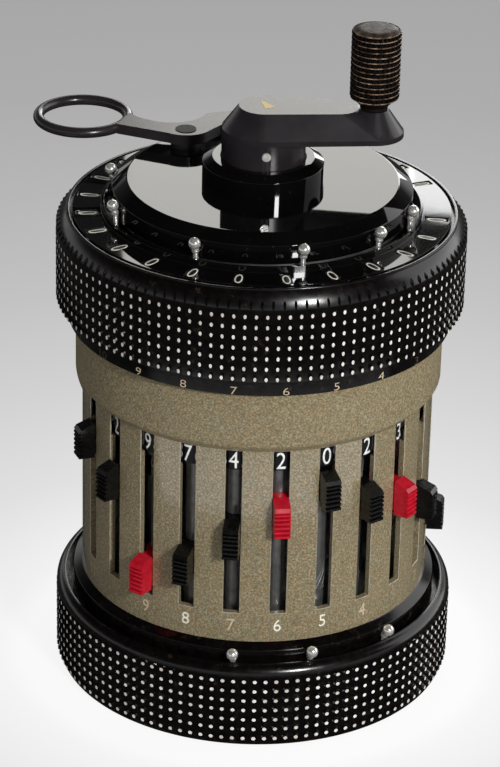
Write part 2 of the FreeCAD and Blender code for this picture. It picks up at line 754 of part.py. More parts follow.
def spiral_groove(name):
    """The tool that cuts the spiral groove; at the height of the nought it faces outwards."""
    floor = S.shaft_radius.value - S.groove_depth.value
    outside = S.shaft_radius.value + S.groove_depth.value
    end_room = S.groove_width.value
    start_height = S.slider_middle.value - S.slider_travel.value - end_room
    length = S.slider_travel.value + 2 * end_room
    path = Part.makeHelix(S.groove_lead.value, length, S.shaft_radius.value)
    slope = math.atan2(S.groove_lead.value, 2 * math.pi * S.shaft_radius.value)
    across = Vector(0, -math.sin(slope), math.cos(slope)) * (S.groove_width.value / 2)
    corners = [Vector(floor, 0, 0) - across, Vector(outside, 0, 0) - across,
               Vector(outside, 0, 0) + across, Vector(floor, 0, 0) + across]
    section = Part.makePolygon(corners + corners[:1])
    thing = DOC.addObject("Part::Feature", name)
    thing.Shape = Part.Wire(path.Edges).makePipeShell([section], True, True)
    rise = S.slider_middle.value - start_height
    start_angle = -90.0 - FULL_TURN * rise / S.groove_lead.value
    thing.Placement = Placement(Vector(0, -S.shaft_circle.value, start_height), Rotation(UP, start_angle))
    return thing


setting_shaft_blank = fuse("setting_shaft_blank", [
    rod("setting_pivots", S.pivot_radius, S.housing_foot + S.pivot_clearance,
        S.upper_plate_top - S.pivot_clearance, 0.0, -S.shaft_circle),
    rod("setting_shaft_rod", S.shaft_radius, lower_plate_top + S.pivot_clearance, S.roll_bottom,
        0.0, -S.shaft_circle),
    rod("digit_roll", S.roll_radius, S.roll_bottom, roll_top, 0.0, -S.shaft_circle),
])
setting_shaft_form = cut("setting_shaft_form", setting_shaft_blank, [spiral_groove("spiral_groove")])


# Setting sliders: a knob outside the housing, a sleeve on the setting shaft, and a fork with its sliding gear

# Where the flat of a serration starts and ends, and where the valley behind it lies, as shares of its pitch
SERRATION_START = 0.15
SERRATION_END = 0.65
SERRATION_VALLEY = 0.9


def serrated_knob(name, width, reach, middle, height, fall, teeth):
    """A knob outside the housing whose top falls outwards and whose face is serrated across."""
    inner = S.housing_radius.value + S.slide_clearance.value
    low = middle.value - height.value / 2
    high = middle.value + height.value / 2
    face_top = high - fall.value
    pitch = (face_top - low) / teeth
    valley = reach.value - S.serration_depth.value
    corners = [Vector(0, -inner, low)]
    for tooth in range(teeth):
        corners.append(Vector(0, -reach.value, low + pitch * (tooth + SERRATION_START)))
        corners.append(Vector(0, -reach.value, low + pitch * (tooth + SERRATION_END)))
        if tooth < teeth - 1:
            corners.append(Vector(0, -valley, low + pitch * (tooth + SERRATION_VALLEY)))
    corners.append(Vector(0, -reach.value, face_top))
    corners.append(Vector(0, -inner, high))
    face = Part.Face(Part.makePolygon(corners + corners[:1]))
    thing = DOC.addObject("Part::Feature", name)
    thing.Shape = face.extrude(Vector(width.value, 0, 0))
    thing.Placement = Placement(Vector(-width.value / 2, 0, 0), Rotation())
    return thing


def sleeve_and_neck(name, middle, height):
    """The part of a slider that runs on its shaft and reaches out through the slot."""
    low = middle - height / 2
    high = middle + height / 2
    tube = cut(name + "_sleeve", rod(name + "_sleeve_rod", sleeve_radius, low, high, 0.0, -S.shaft_circle),
               [rod(name + "_sleeve_bore", sleeve_bore, low, high, 0.0, -S.shaft_circle)])
    neck_inner = S.shaft_circle + sleeve_bore + S.running_clearance
    neck = block(name + "_neck", S.slot_width - S.slide_clearance * 2, neck_inner,
                 S.housing_radius + S.slide_clearance, low, high)
    return [tube, neck]


fork_half = S.fork_thickness / 2
fork_bottom = S.slider_middle - fork_half
fork_top = S.slider_middle + fork_half
fork_bore = S.gear_neck_radius + S.slide_clearance
fork_inner = S.drive_circle - S.drive_shaft_radius
fork_form = cut(
    "fork_form",
    block("fork_plate", S.fork_width, fork_inner, S.shaft_circle - sleeve_bore - S.running_clearance,
          fork_bottom, fork_top),
    [rod("fork_round", fork_bore, fork_bottom, fork_top, 0.0, -S.drive_circle),
     block("fork_mouth", fork_bore * 2, fork_inner, S.drive_circle, fork_bottom, fork_top)],
)
slider_form = fuse("slider_form", [
    serrated_knob("slider_knob", S.knob_width, S.slider_reach, S.slider_middle, S.knob_height,
                  S.knob_top_fall, SLIDER_SERRATIONS),
    *sleeve_and_neck("slider", S.slider_middle, S.sleeve_height),
    outward_rod("follower_pin", S.follower_radius,
                S.shaft_circle + S.shaft_radius - S.groove_depth + S.slide_clearance,
                S.shaft_circle + sleeve_bore + S.sleeve_wall / 2, S.slider_middle),
    fork_form,
])
gear_top = fork_bottom - S.slide_clearance
gear_bottom = gear_top - S.gear_height
flange_bottom = fork_top + S.slide_clearance
flange_top = flange_bottom + S.gear_flange_height
sliding_gear_form = cut(
    "sliding_gear_form",
    fuse("sliding_gear_blank", [
        gear("sliding_gear_teeth", GEAR_TEETH, S.gear_tip_radius.value, S.gear_root_radius.value,
             gear_bottom.value, gear_top.value, 0.0, -S.drive_circle.value),
        rod("sliding_gear_neck", S.gear_neck_radius, gear_bottom, flange_top, 0.0, -S.drive_circle),
        rod("sliding_gear_flange", S.gear_root_radius + S.slide_clearance, flange_bottom, flange_top,
            0.0, -S.drive_circle),
    ]),
    [rod("sliding_gear_bore", S.drive_shaft_radius + S.running_clearance, gear_bottom, flange_top,
         0.0, -S.drive_circle)],
)
for slot, digit in enumerate(SLIDER_DIGITS, start=1):
    drop = -S.digit_pitch.value * digit
    turn = FULL_TURN * S.digit_pitch.value * digit / S.groove_lead.value
    bearing = slot_bearing(slot)
    slider = copy_at("slider_%02d" % slot, [slider_form, sliding_gear_form], bearing, rise=drop)
    node(slider, "setting_slider_%02d" % slot)
    shaft = copy_at("shaft_%02d" % slot, [setting_shaft_form], bearing, spin=turn)
    node(shaft, "setting_shaft_%02d" % slot)

reversing_form = fuse("reversing_form", [
    serrated_knob("reversing_knob", S.reversing_knob_width, S.reversing_reach, S.reversing_middle,
                  S.reversing_knob_height, S.knob_top_fall, REVERSING_SERRATIONS),
    *sleeve_and_neck("reversing", S.reversing_middle, S.sleeve_height),
])
node(copy_at("reversing_lever_turned", [reversing_form], REVERSING_BEARING), "reversing_lever")


# Guide tube of the carriage, with the spring that presses the carriage down

tube_bore = S.main_shaft_radius + S.running_clearance
guide_tube_rod = rod("guide_tube_rod", S.guide_tube_radius, S.upper_plate_underside, S.guide_tube_top)
guide_tube_bore = rod("guide_tube_bore", tube_bore, S.upper_plate_underside, S.guide_tube_top)
node(cut("guide_tube_cut", guide_tube_rod, [guide_tube_bore]), "guide_tube")

tube_running_bore = S.guide_tube_radius + S.running_clearance


def ring(label, radius, bore, bottom, top):
    """A plain ring about the middle axis."""
    outside = rod(label + "_rod", radius, bottom, top)
    return node(cut(label + "_cut", outside, [rod(label + "_bore", bore, bottom, top)]), label)


ring("thrust_ring", S.thrust_ring_radius, tube_running_bore, S.frame_top, S.thrust_top)
ring("carriage_spring", S.spring_radius, S.spring_bore, S.thrust_top, S.spring_top)
ring("spring_cap", S.thrust_ring_radius, S.guide_tube_radius, S.spring_top, S.cap_top)


# Carriage

window_plate_underside = S.window_plate_top - S.window_plate_thickness
node(turned("carriage_ring", [
    (S.frame_radius, S.carriage_bottom),
    (S.band_radius, S.carriage_bottom),
    (S.band_radius, S.band_top),
    (S.carriage_radius - S.knurl_depth, S.band_top),
    *knurl_rows(S.carriage_radius, S.upper_knurl_first, S.upper_knurl_pitch),
    (S.carriage_radius, S.carriage_side_top),
    (S.carriage_lip_radius, S.carriage_lip_height, S.carriage_round),
    (S.carriage_lip_radius, window_plate_underside),
    (S.carriage_bore, window_plate_underside),
    (S.carriage_bore, S.frame_top),
    (S.frame_radius, S.frame_top),
]), "carriage_ring")

dial_height = window_plate_underside - S.dial_window_gap - S.dial_radius
wall_bore = S.frame_wall_radius - S.housing_wall
disc_underside = S.disc_top - S.disc_thickness
carriage_frame_blank = turned("carriage_frame_blank", [
    (tube_running_bore, S.frame_underside),
    (S.frame_radius, S.frame_underside),
    (S.frame_radius, S.frame_top),
    (S.frame_wall_radius, S.frame_top),
    (S.frame_wall_radius, disc_underside),
    (wall_bore, disc_underside),
    (wall_bore, S.frame_top),
    (tube_running_bore, S.frame_top),
])
dial_shaft_hole = rod("dial_shaft_hole", S.dial_shaft_radius, S.frame_underside, S.frame_top,
                      0.0, -S.drive_circle)
dial_axle_hole = outward_rod("dial_axle_hole", S.dial_axle_radius, wall_bore - S.gap,
                             S.frame_wall_radius + S.gap, dial_height)
node(cut("carriage_frame_cut", carriage_frame_blank, [
    ring_of("dial_shaft_holes", [dial_shaft_hole], DIAL_BEARINGS),
    ring_of("dial_axle_holes", [dial_axle_hole], DIAL_BEARINGS),
]), "carriage_frame")

window_plate_blank = turned("window_plate_blank", [
    (S.frame_wall_radius, window_plate_underside),
    (S.window_plate_radius, window_plate_underside),
    (S.window_plate_radius, S.window_plate_top),
    (S.rim_outer_radius, S.window_plate_top),
    (S.rim_outer_radius, S.rim_height),
    (S.rim_inner_radius, S.rim_height),
    (S.rim_inner_radius, S.channel_floor),
    (S.frame_wall_radius, S.channel_floor),
])
window_tool = block("window_tool", S.window_width, S.window_inner_radius,
                    S.window_inner_radius + S.window_length, window_plate_underside, S.window_plate_top)
node(cut("window_plate_cut", window_plate_blank, [ring_of("window_tools", [window_tool], DIAL_BEARINGS)]),
     "window_plate")

bevel_reach = S.bevel_large_radius + S.running_clearance
bevel_depth = S.bevel_large_radius - S.bevel_small_radius
bevel_back = S.gear_flange_height


def outward_cone(name, inner_radius, outer_radius, inner, outer, height):
    """A cone that lies along the radius towards -Y."""
    thing = DOC.addObject("Part::Cone", name)
    bind(thing, Radius1=inner_radius, Radius2=outer_radius, Height=outer - inner)
    thing.Placement = Placement(Vector(), Rotation(Vector(1, 0, 0), 90))
    put(thing, 0.0, -as_size(inner), height)
    return thing


bevel_face = S.drive_circle + bevel_reach
dial_form = fuse("dial_form", [
    outward_rod("dial_roll", S.dial_radius, S.dial_inner_radius, S.dial_outer_radius, dial_height),
    outward_rod("dial_axle", S.dial_axle_radius, bevel_face, S.carriage_bore - S.pivot_clearance,
                dial_height),
    outward_rod("dial_bevel_back", S.bevel_large_radius, bevel_face, bevel_face + bevel_back, dial_height),
    outward_cone("dial_bevel", S.bevel_small_radius, S.bevel_large_radius,
                 bevel_face - bevel_depth, bevel_face, dial_height),
])
node(ring_of("number_dial_set", [dial_form], DIAL_BEARINGS), "number_dials")

bevel_level = dial_height - bevel_reach
dial_pinion_bottom = S.drive_shaft_top + S.gap
dial_gear_form = fuse("dial_gear_form", [
    gear("dial_pinion", GEAR_TEETH, S.gear_tip_radius.value, S.gear_root_radius.value,
         dial_pinion_bottom.value, S.frame_underside.value - S.slide_clearance.value,
         0.0, -S.drive_circle.value),
    rod("dial_gear_shaft", S.dial_shaft_radius, dial_pinion_bottom, bevel_level, 0.0, -S.drive_circle),
    rod("dial_gear_back", S.bevel_large_radius, bevel_level - bevel_back, bevel_level, 0.0, -S.drive_circle),
    cone("dial_gear_bevel", S.bevel_large_radius, S.bevel_small_radius,
         bevel_level, bevel_level + bevel_depth, 0.0, -S.drive_circle),
])
node(ring_of("dial_gear_set", [dial_gear_form], DIAL_BEARINGS), "dial_gears")


# Clearing plate with its hub, and the clearing lever on its shoulder screw

hub_bore = S.crank_collar_radius + S.running_clearance
skirt_bore = S.frame_wall_radius + S.running_clearance
node(turned("clearing_plate", [
    (hub_bore, disc_underside),
    (skirt_bore, disc_underside),
    (skirt_bore, S.disc_skirt_bottom),
    (S.disc_cone_radius, S.disc_skirt_bottom),
    (S.disc_cone_radius, S.disc_cone_height),
    (S.disc_radius, S.disc_top),
    (S.hub_radius, S.disc_top),
    (S.hub_radius, S.hub_side_top),
    (S.hub_top_radius, S.hub_top),
    (hub_bore, S.hub_top),
]), "clearing_plate")

lever_top = S.lever_underside + S.lever_thickness
screw_shoulder = lever_top + S.pivot_clearance
lever_pivot = (S.lever_pivot_x, S.lever_pivot_y)
node(fuse("pivot_screw_fuse", [
    rod("pivot_screw_boss", S.lever_boss_radius, S.disc_top, S.lever_underside, *lever_pivot),
    rod("pivot_screw_shank", S.lever_screw_radius, S.disc_top, screw_shoulder, *lever_pivot),
    rod("pivot_screw_head", S.lever_screw_head_radius, screw_shoulder,
        screw_shoulder + S.lever_screw_head_height, *lever_pivot),
]), "pivot_screw")


def on_bearing(radius, bearing):
    """A point at a distance from the middle axis, on a bearing."""
    angle = math.radians(bearing)
    return Vector(radius * math.sin(angle), -radius * math.cos(angle), 0)


# Corners of the lever from above, from its pivot or from the middle of its finger ring
TAIL_START_BEARING = 197.5
TAIL_END_BEARING = 178.0
SHOULDER = Vector(-1.45, 2.9, 0)
WAIST = Vector(-5.35, 4.4, 0)
HEEL = Vector(-2.95, -1.4, 0)
HEEL_BEND = Vector(0.75, -2.6, 0)
TOE = Vector(3.75, -0.8, 0)
RING_BEND = Vector(8.6, -3.1, 0)
RING_FAR = Vector(7.4, -1.2, 0)
RING_NEAR = Vector(4.9, -5.8, 0)


def lever_outline():
    """The lever from above: a tail along the disc's edge, the pivot, and the foot of the ring."""
    pivot = Vector(S.lever_pivot_x.value, S.lever_pivot_y.value, 0)
    ring_middle = Vector(S.finger_ring_x.value, S.finger_ring_y.value, 0)
    outer = S.lever_tail_outer_radius.value
    inner = S.lever_tail_inner_radius.value
    halfway = (TAIL_START_BEARING + TAIL_END_BEARING) / 2
    tail_middle = (outer + inner) / 2
    tail_nose = TAIL_END_BEARING - math.degrees((outer - inner) / 2 / tail_middle)
    outer_end = on_bearing(outer, TAIL_END_BEARING)
    outer_start = on_bearing(outer, TAIL_START_BEARING)
    inner_start = on_bearing(inner, TAIL_START_BEARING)
    inner_end = on_bearing(inner, TAIL_END_BEARING)
    waist = pivot + WAIST
    ring_far = ring_middle + RING_FAR
    ring_near = ring_middle + RING_NEAR
    heel = pivot + HEEL
    toe = pivot + TOE
    edges = [
        Part.Arc(outer_end, on_bearing(outer, halfway), outer_start),
        Part.Arc(outer_start, pivot + SHOULDER, waist),
        Part.Arc(waist, ring_middle + RING_BEND, ring_far),
        Part.LineSegment(ring_far, ring_near),
        Part.LineSegment(ring_near, heel),
        Part.Arc(heel, pivot + HEEL_BEND, toe),
        Part.LineSegment(toe, inner_start),
        Part.Arc(inner_start, on_bearing(inner, halfway), inner_end),
        Part.Arc(inner_end, on_bearing(tail_middle, tail_nose), outer_end),
    ]
    return Part.Wire([edge.toShape() for edge in edges])


lever_plate = DOC.addObject("Part::Feature", "lever_plate")
lever_plate.Shape = Part.Face(lever_outline()).extrude(Vector(0, 0, S.lever_thickness.value))
lever_plate.Placement = Placement(Vector(0, 0, S.lever_underside.value), Rotation())
finger_ring = DOC.addObject("Part::Torus", "finger_ring")
bind(finger_ring, Radius1=S.finger_ring_radius, Radius2=S.finger_ring_wire)
put(finger_ring, S.finger_ring_x, S.finger_ring_y, S.lever_underside + S.lever_thickness / 2)
lever_bore = rod("lever_bore", S.lever_screw_radius + S.running_clearance, S.lever_underside, lever_top,
                 *lever_pivot)
node(cut("clearing_lever_cut", fuse("clearing_lever_blank", [lever_plate, finger_ring]), [lever_bore]),
     "clearing_lever")


# Bead markers: a ball on a leaning stem whose foot stands in a round track

def bead(name, out, height, track, neck, foot_radius, floor):
    """One bead marker on the -Y radius."""
    ball = DOC.addObject("Part::Sphere", name + "_ball")
    bind(ball, Radius=S.bead_radius)
    put(ball, 0.0, -out, height)
    foot = rod(name + "_foot", foot_radius, floor + S.gap, neck, 0.0, -track)
    knee = DOC.addObject("Part::Sphere", name + "_knee")
    bind(knee, Radius=foot_radius)
    put(knee, 0.0, -track, neck)
    start = Vector(0, -track.value, neck.value)
    lean = Vector(0, -out.value, height.value) - start
    stem = DOC.addObject("Part::Feature", name + "_stem")
    stem.Shape = Part.makeCylinder(foot_radius.value, lean.Length, Vector(), lean)
    stem.Placement = Placement(start, Rotation())
    return fuse(name, [ball, foot, knee, stem])


lower_bead_form = bead("lower_bead_form", S.lower_bead_out, S.lower_bead_height, S.lower_track_radius,
                       S.lower_bead_neck, S.lower_bead_foot_radius, S.lower_track_floor)
upper_bead_form = bead("upper_bead_form", S.upper_bead_out, S.upper_bead_height,
                       S.upper_track_radius, S.upper_bead_neck, S.upper_bead_foot_radius, S.channel_floor)
for number, bearing in enumerate(LOWER_BEAD_BEARINGS, start=1):
    node(copy_at("lower_bead_copy_%d" % number, [lower_bead_form], bearing), "lower_bead_%d" % number)
for number, bearing in enumerate(UPPER_BEAD_BEARINGS, start=1):
    node(copy_at("upper_bead_copy_%d" % number, [upper_bead_form], bearing), "upper_bead_%d" % number)


# Main shaft with the step drum, the tens bell and the ratchet wheel

pin_hole = copy_at("crank_pin_hole", [
    outward_rod("crank_pin_hole_rod", S.crank_pin_radius, -S.crank_collar_radius, S.crank_collar_radius,
                S.crank_pin_height),
], S.crank_pin_bearing.value)
node(cut("main_shaft_cut", rod("main_shaft_rod", S.main_shaft_radius, S.main_shaft_foot, S.main_shaft_top),
         [pin_hole]), "main_shaft")

drum_bore = S.drum_radius - S.drum_wall
drum_shell = cut("drum_shell", rod("drum_outside", S.drum_radius, S.drum_bottom, S.drum_top),
                 [rod("drum_hollow", drum_bore, S.drum_bottom + S.drum_wall, S.drum_top)])
drum_teeth = []
for step in range(1, DRUM_STEPS + 1):
    tooth = block("drum_tooth_%d" % step, S.drum_tooth_width, S.drum_radius - S.drum_wall / 2,
                  S.drum_tooth_radius, S.drum_tooth_bottom, S.drum_tooth_bottom + S.digit_pitch * step)
    drum_teeth.append(copy_at("drum_tooth_%d_turned" % step, [tooth], step * DRUM_TOOTH_SPACING))
drum_form = cut("drum_form", fuse("drum_blank", [
    drum_shell,
    rod("drum_hub", S.drum_hub_radius, S.drum_bottom, S.drum_top),
    *drum_teeth,
]), [rod("drum_shaft_bore", S.main_shaft_radius, S.drum_bottom, S.drum_top)])
bell_top = S.drum_top + S.bell_height
bell_ceiling = bell_top - S.drum_wall
bell_bore = S.drum_radius - S.drum_wall / 2
bell_form = cut("bell_form", rod("bell_outside", S.drum_tooth_radius, S.drum_top, bell_top), [
    cut("bell_hollow", rod("bell_hollow_outside", bell_bore, S.drum_top, bell_ceiling),
        [rod("bell_hub", S.drum_hub_radius, S.drum_top, bell_ceiling)]),
    rod("bell_shaft_bore", S.main_shaft_radius, S.drum_top, bell_top),
])
node(group("step_drum_set", [drum_form, bell_form]), "step_drum")

ratchet_top = boss_top + S.ratchet_height
ratchet_teeth = gear("ratchet_teeth", RATCHET_TEETH, S.ratchet_radius.value,
                     S.ratchet_radius.value - S.drum_tooth_width.value, boss_top.value, ratchet_top.value)
ratchet_bore = rod("ratchet_bore", tube_bore, boss_top, ratchet_top)
node(cut("ratchet_cut", ratchet_teeth, [ratchet_bore]), "ratchet_wheel")


# Crank arm, its pin, and the knob on its stud

def arm_outline(near_radius, far_radius, reach, height):
    """Two round ends joined by tangent sides, at one height."""
    lean = math.acos((near_radius - far_radius) / reach)
    near = Vector(near_radius * math.cos(lean), near_radius * math.sin(lean), height)
    far = Vector(reach + far_radius * math.cos(lean), far_radius * math.sin(lean), height)
    near_mirror = Vector(near.x, -near.y, height)
    far_mirror = Vector(far.x, -far.y, height)
    return Part.Wire([
        Part.Arc(near, Vector(-near_radius, 0, height), near_mirror).toShape(),
        Part.LineSegment(near_mirror, far_mirror).toShape(),
        Part.Arc(far_mirror, Vector(reach + far_radius, 0, height), far).toShape(),
        Part.LineSegment(far, near).toShape(),
    ])


def crank_arm_shape():
    """The arm: a lip with upright sides and, above it, sides that lean inwards to a narrow top."""
    underside = S.crank_underside.value
    edge_top = S.crank_edge_top.value
    size = (S.crank_collar_radius.value, S.crank_end_radius.value, S.crank_throw.value)
    lip = Part.Face(arm_outline(*size, underside)).extrude(Vector(0, 0, edge_top - underside))
    top = arm_outline(S.crank_top_radius.value, S.crank_top_end_radius.value, S.crank_top_end_reach.value,
                      S.crank_top.value)
    upper = Part.makeLoft([arm_outline(*size, edge_top), top], True, True)
    return lip.fuse(upper)


crank_angle = math.radians(S.crank_turned_angle.value)
knob_x = S.crank_throw.value * math.cos(crank_angle)
knob_y = S.crank_throw.value * math.sin(crank_angle)
crank_bar = DOC.addObject("Part::Feature", "crank_bar")
crank_bar.Shape = crank_arm_shape()
crank_bar.Placement = Placement(Vector(), Rotation(UP, S.crank_turned_angle.value))
crank_collar = rod("crank_collar", S.crank_collar_radius, S.crank_collar_bottom, S.crank_underside)
crank_cone = cone("crank_cone", S.crank_end_radius - S.crank_cone_inset, S.crank_cone_top_radius,
                  S.crank_edge_top, S.crank_top, knob_x, knob_y)
node(cut("crank_arm_cut", fuse("crank_arm_blank", [crank_bar, crank_collar, crank_cone]), [
    rod("crank_shaft_bore", S.main_shaft_radius, S.crank_collar_bottom, S.main_shaft_top),
    rod("crank_stud_bore", S.stud_radius, S.crank_underside, S.crank_top, knob_x, knob_y),
    pin_hole,
]), "crank_arm")
node(copy_at("crank_pin_turned", [
    outward_rod("crank_pin_rod", S.crank_pin_radius, -S.crank_collar_radius, S.crank_collar_radius,
                S.crank_pin_height),
], S.crank_pin_bearing.value), "crank_pin")
node(rod("knob_stud_rod", S.stud_radius, S.crank_underside, S.stud_top, knob_x, knob_y), "knob_stud")

rib_corners = []
for rib in range(int(S.knob_rib_count.value)):
    rib_bottom = S.knob_rib_bottom + S.knob_rib_pitch * rib
    rib_corners.append((S.crank_knob_radius, rib_bottom + S.knob_rib_pitch / 4))
    rib_corners.append((S.crank_knob_radius, rib_bottom + S.knob_rib_pitch * 3 / 4))
    rib_corners.append((S.crank_knob_radius - S.knob_rib_depth, rib_bottom + S.knob_rib_pitch))
stud_bore = S.stud_radius + S.running_clearance
crank_knob = turned("crank_knob", [
    (stud_bore, S.crank_top + S.pivot_clearance),
    (S.knob_neck_radius, S.crank_top + S.pivot_clearance),
    (S.knob_neck_radius, S.knob_neck_top),
    (S.crank_knob_radius - S.knob_rib_depth, S.knob_rib_bottom),
    *rib_corners,
    (S.knob_top_flat_radius, S.knob_top, S.knob_top_round),
    (0.0, S.knob_top),
    (0.0, S.stud_top + S.running_clearance),
    (stud_bore, S.stud_top + S.running_clearance),
])
crank_knob.Placement = Placement(Vector(knob_x, knob_y, 0), Rotation())
node(crank_knob, "crank_knob")


# Check every object, then write one file for each piece

DOC.recompute()
failed = [thing.Name for thing in DOC.Objects if "Invalid" in thing.State or "Error" in thing.State]
if failed:
    raise RuntimeError("These objects failed: " + ", ".join(failed))
for piece in NODES:
    if piece.Shape.isNull() or not piece.Shape.isValid() or not piece.Shape.Solids:
        raise RuntimeError(piece.Label + " has no good shape")
labels = [piece.Label for piece in NODES]
if len(set(labels)) < len(labels):
    raise RuntimeError("Two pieces have one name")
os.makedirs("parts", exist_ok=True)
for piece in NODES:
    piece.Shape.exportStep("parts/%s.step" % piece.Label)
print("%d pieces written" % len(NODES))
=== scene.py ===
import math
import bmesh
import bpy
from mathutils import Matrix, Vector


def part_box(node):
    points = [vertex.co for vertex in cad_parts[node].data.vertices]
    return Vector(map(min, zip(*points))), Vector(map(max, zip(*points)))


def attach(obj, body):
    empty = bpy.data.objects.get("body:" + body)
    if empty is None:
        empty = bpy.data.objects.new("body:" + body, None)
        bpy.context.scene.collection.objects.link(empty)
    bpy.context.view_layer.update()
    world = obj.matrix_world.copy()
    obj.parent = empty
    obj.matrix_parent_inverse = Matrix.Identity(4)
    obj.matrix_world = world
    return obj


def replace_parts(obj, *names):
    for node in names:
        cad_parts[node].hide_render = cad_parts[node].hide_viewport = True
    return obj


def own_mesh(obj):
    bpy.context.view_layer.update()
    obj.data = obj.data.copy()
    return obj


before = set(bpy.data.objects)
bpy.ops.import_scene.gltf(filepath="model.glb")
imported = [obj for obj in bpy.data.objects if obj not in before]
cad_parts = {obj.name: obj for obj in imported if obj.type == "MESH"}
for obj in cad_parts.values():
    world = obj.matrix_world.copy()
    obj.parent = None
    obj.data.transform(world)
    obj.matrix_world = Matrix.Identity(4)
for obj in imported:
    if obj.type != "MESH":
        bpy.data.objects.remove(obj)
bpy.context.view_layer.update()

# Lengths below are millimetres, and MM turns them into metres. Z is up and the axis of the drum is x = y = 0.
# A bearing is measured in degrees from -Y towards +X, as seen from above.
MM = 0.001
TURN = 2 * math.pi
SLOT_PITCH = 15.0
MIDDLE_SLOT = 6
SLOTS = range(1, 12)
RED_SLOTS = (3, 6, 9)
SLOT_DIGITS = (8, 5, 3, 2, 0, 2, 4, 7, 9, 2, 0)


# Helpers for places on the drum

def slot_bearing(slot):
    """The bearing of a setting slot, and of the number dial above it."""
    return (MIDDLE_SLOT - slot) * SLOT_PITCH


def polar(radius, bearing, height):
    """The point at a radius, a bearing and a height."""
    turn = math.radians(bearing)
    return Vector((radius * math.sin(turn), -radius * math.cos(turn), height))


def low(node):
    """The lowest corner of a CAD node."""
    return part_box(node)[0] / MM


def high(node):
    """The highest corner of a CAD node."""
    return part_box(node)[1] / MM


# Node trees: a Value is the output of a node, and an expression on values adds Math nodes

class Value:
    """The output of a node."""

    def __init__(self, nodes, socket):
        self.nodes = nodes
        self.socket = socket

    def __add__(self, other):
        return self.nodes.math("ADD", self, other)

    def __radd__(self, other):
        return self.nodes.math("ADD", other, self)

    def __sub__(self, other):
        return self.nodes.math("SUBTRACT", self, other)

    def __rsub__(self, other):
        return self.nodes.math("SUBTRACT", other, self)

    def __mul__(self, other):
        return self.nodes.math("MULTIPLY", self, other)

    def __rmul__(self, other):
        return self.nodes.math("MULTIPLY", other, self)

    def __truediv__(self, other):
        return self.nodes.math("DIVIDE", self, other)

    def __pow__(self, other):
        return self.nodes.math("POWER", self, other)

    def output(self, name):
        """Another output of the same node."""
        return Value(self.nodes, self.socket.node.outputs[name])


class Nodes:
    """A node tree under construction."""

    def __init__(self, tree):
        self.tree = tree

    def node(self, kind, settings, *inputs, output=0, **named):
        """Adds a node, applies its settings, then fills its sockets with values or links."""
        made = self.tree.nodes.new(kind)
        for key, value in settings.items():
            if key == "stops":
                self.set_stops(made.color_ramp, value)
            else:
                setattr(made, key, value)
        filled = [(made.inputs[index], value) for index, value in enumerate(inputs)]
        filled += [(made.inputs[key.replace("_", " ")], value) for key, value in named.items()]
        for socket, value in filled:
            if isinstance(value, Value):
                self.tree.links.new(value.socket, socket)
            elif value is not None:
                socket.default_value = value
        return Value(self, made.outputs[output])

    def math(self, operation, *inputs):
        """A Math node."""
        return self.node("ShaderNodeMath", {"operation": operation}, *inputs)

    @staticmethod
    def set_stops(ramp, stops):
        """Gives a colour ramp its stops, each a place and a grey or a colour."""
        while len(ramp.elements) < len(stops):
            ramp.elements.new(1.0)
        for element, (place, tone) in zip(ramp.elements, stops):
            element.position = place
            element.color = colour(tone)


class Paint(Nodes):
    """A material under construction."""

    def __init__(self, name, **constants):
        self.material = bpy.data.materials.new(name)
        self.material.use_nodes = True
        super().__init__(self.material.node_tree)
        self.shader = self.tree.nodes["Principled BSDF"]
        for socket, value in constants.items():
            self.shader.inputs[socket.replace("_", " ")].default_value = value

    def place(self):
        """Object coordinates, in metres."""
        return self.node("ShaderNodeTexCoord", {}, output="Object")

    def axes(self):
        """The x, y and z of the object coordinates, each a Value."""
        split = self.node("ShaderNodeSeparateXYZ", {}, self.place())
        return [split.output(axis) for axis in "XYZ"]

    def radius(self):
        """The distance from the drum's axis, in metres."""
        x, y, _ = self.axes()
        return (x * x + y * y) ** 0.5

    def noise(self, scale, detail=2.0, roughness=0.5):
        """Smooth noise from 0 to 1, with about that many bumps to the metre."""
        return self.node("ShaderNodeTexNoise", {}, self.place(), None, scale, detail, roughness)

    def ramp(self, value, *stops):
        """A ramp of stops, each a place and a tone."""
        return self.node("ShaderNodeValToRGB", {"stops": stops}, value)

    def along(self, measure, span, *stops):
        """A ramp over a measure of the object. The span and the places of the stops are in millimetres."""
        return self.ramp(measure / (span * MM), *[(place / span, tone) for place, tone in stops])

    def mix(self, share, first, second):
        """A mix of two colours."""
        return self.node("ShaderNodeMixRGB", {}, share, colour(first), colour(second))

    def attribute(self, name):
        """A number stored on the mesh."""
        return self.node("ShaderNodeAttribute", {"attribute_name": name}, output="Fac")

    def feed(self, socket, value):
        """Links a value to a socket of the shader."""
        self.tree.links.new(value.socket, self.shader.inputs[socket])

    def reflected(self):
        """The Principled shader's own output."""
        return Value(self, self.shader.outputs[0])

    def surface(self, shader):
        """Makes a shader what the surface shows."""
        self.tree.links.new(shader.socket, self.tree.nodes["Material Output"].inputs["Surface"])

    def bump(self, height, depth):
        """Feeds the shader's normal with a height from 0 to 1, as deep as that many millimetres."""
        self.feed("Normal", self.node("ShaderNodeBump", {}, Strength=1.0, Distance=depth * MM, Height=height))


def colour(tone):
    """The value of a colour socket for a grey, an RGB triple or a link."""
    if isinstance(tone, Value):
        return tone
    if isinstance(tone, (int, float)):
        return (tone, tone, tone, 1.0)
    return (*tone, 1.0)


# Mesh helpers

def in_scene(name, data):
    """A new object in the scene."""
    thing = bpy.data.objects.new(name, data)
    bpy.context.scene.collection.objects.link(thing)
    return thing


def add_piece(name, mesh, paint, body):
    """Puts a finished mesh in the scene as a piece that rides on a body."""
    piece = in_scene(name, mesh)
    mesh.materials.clear()
    mesh.materials.append(paint)
    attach(piece, body)
    return piece


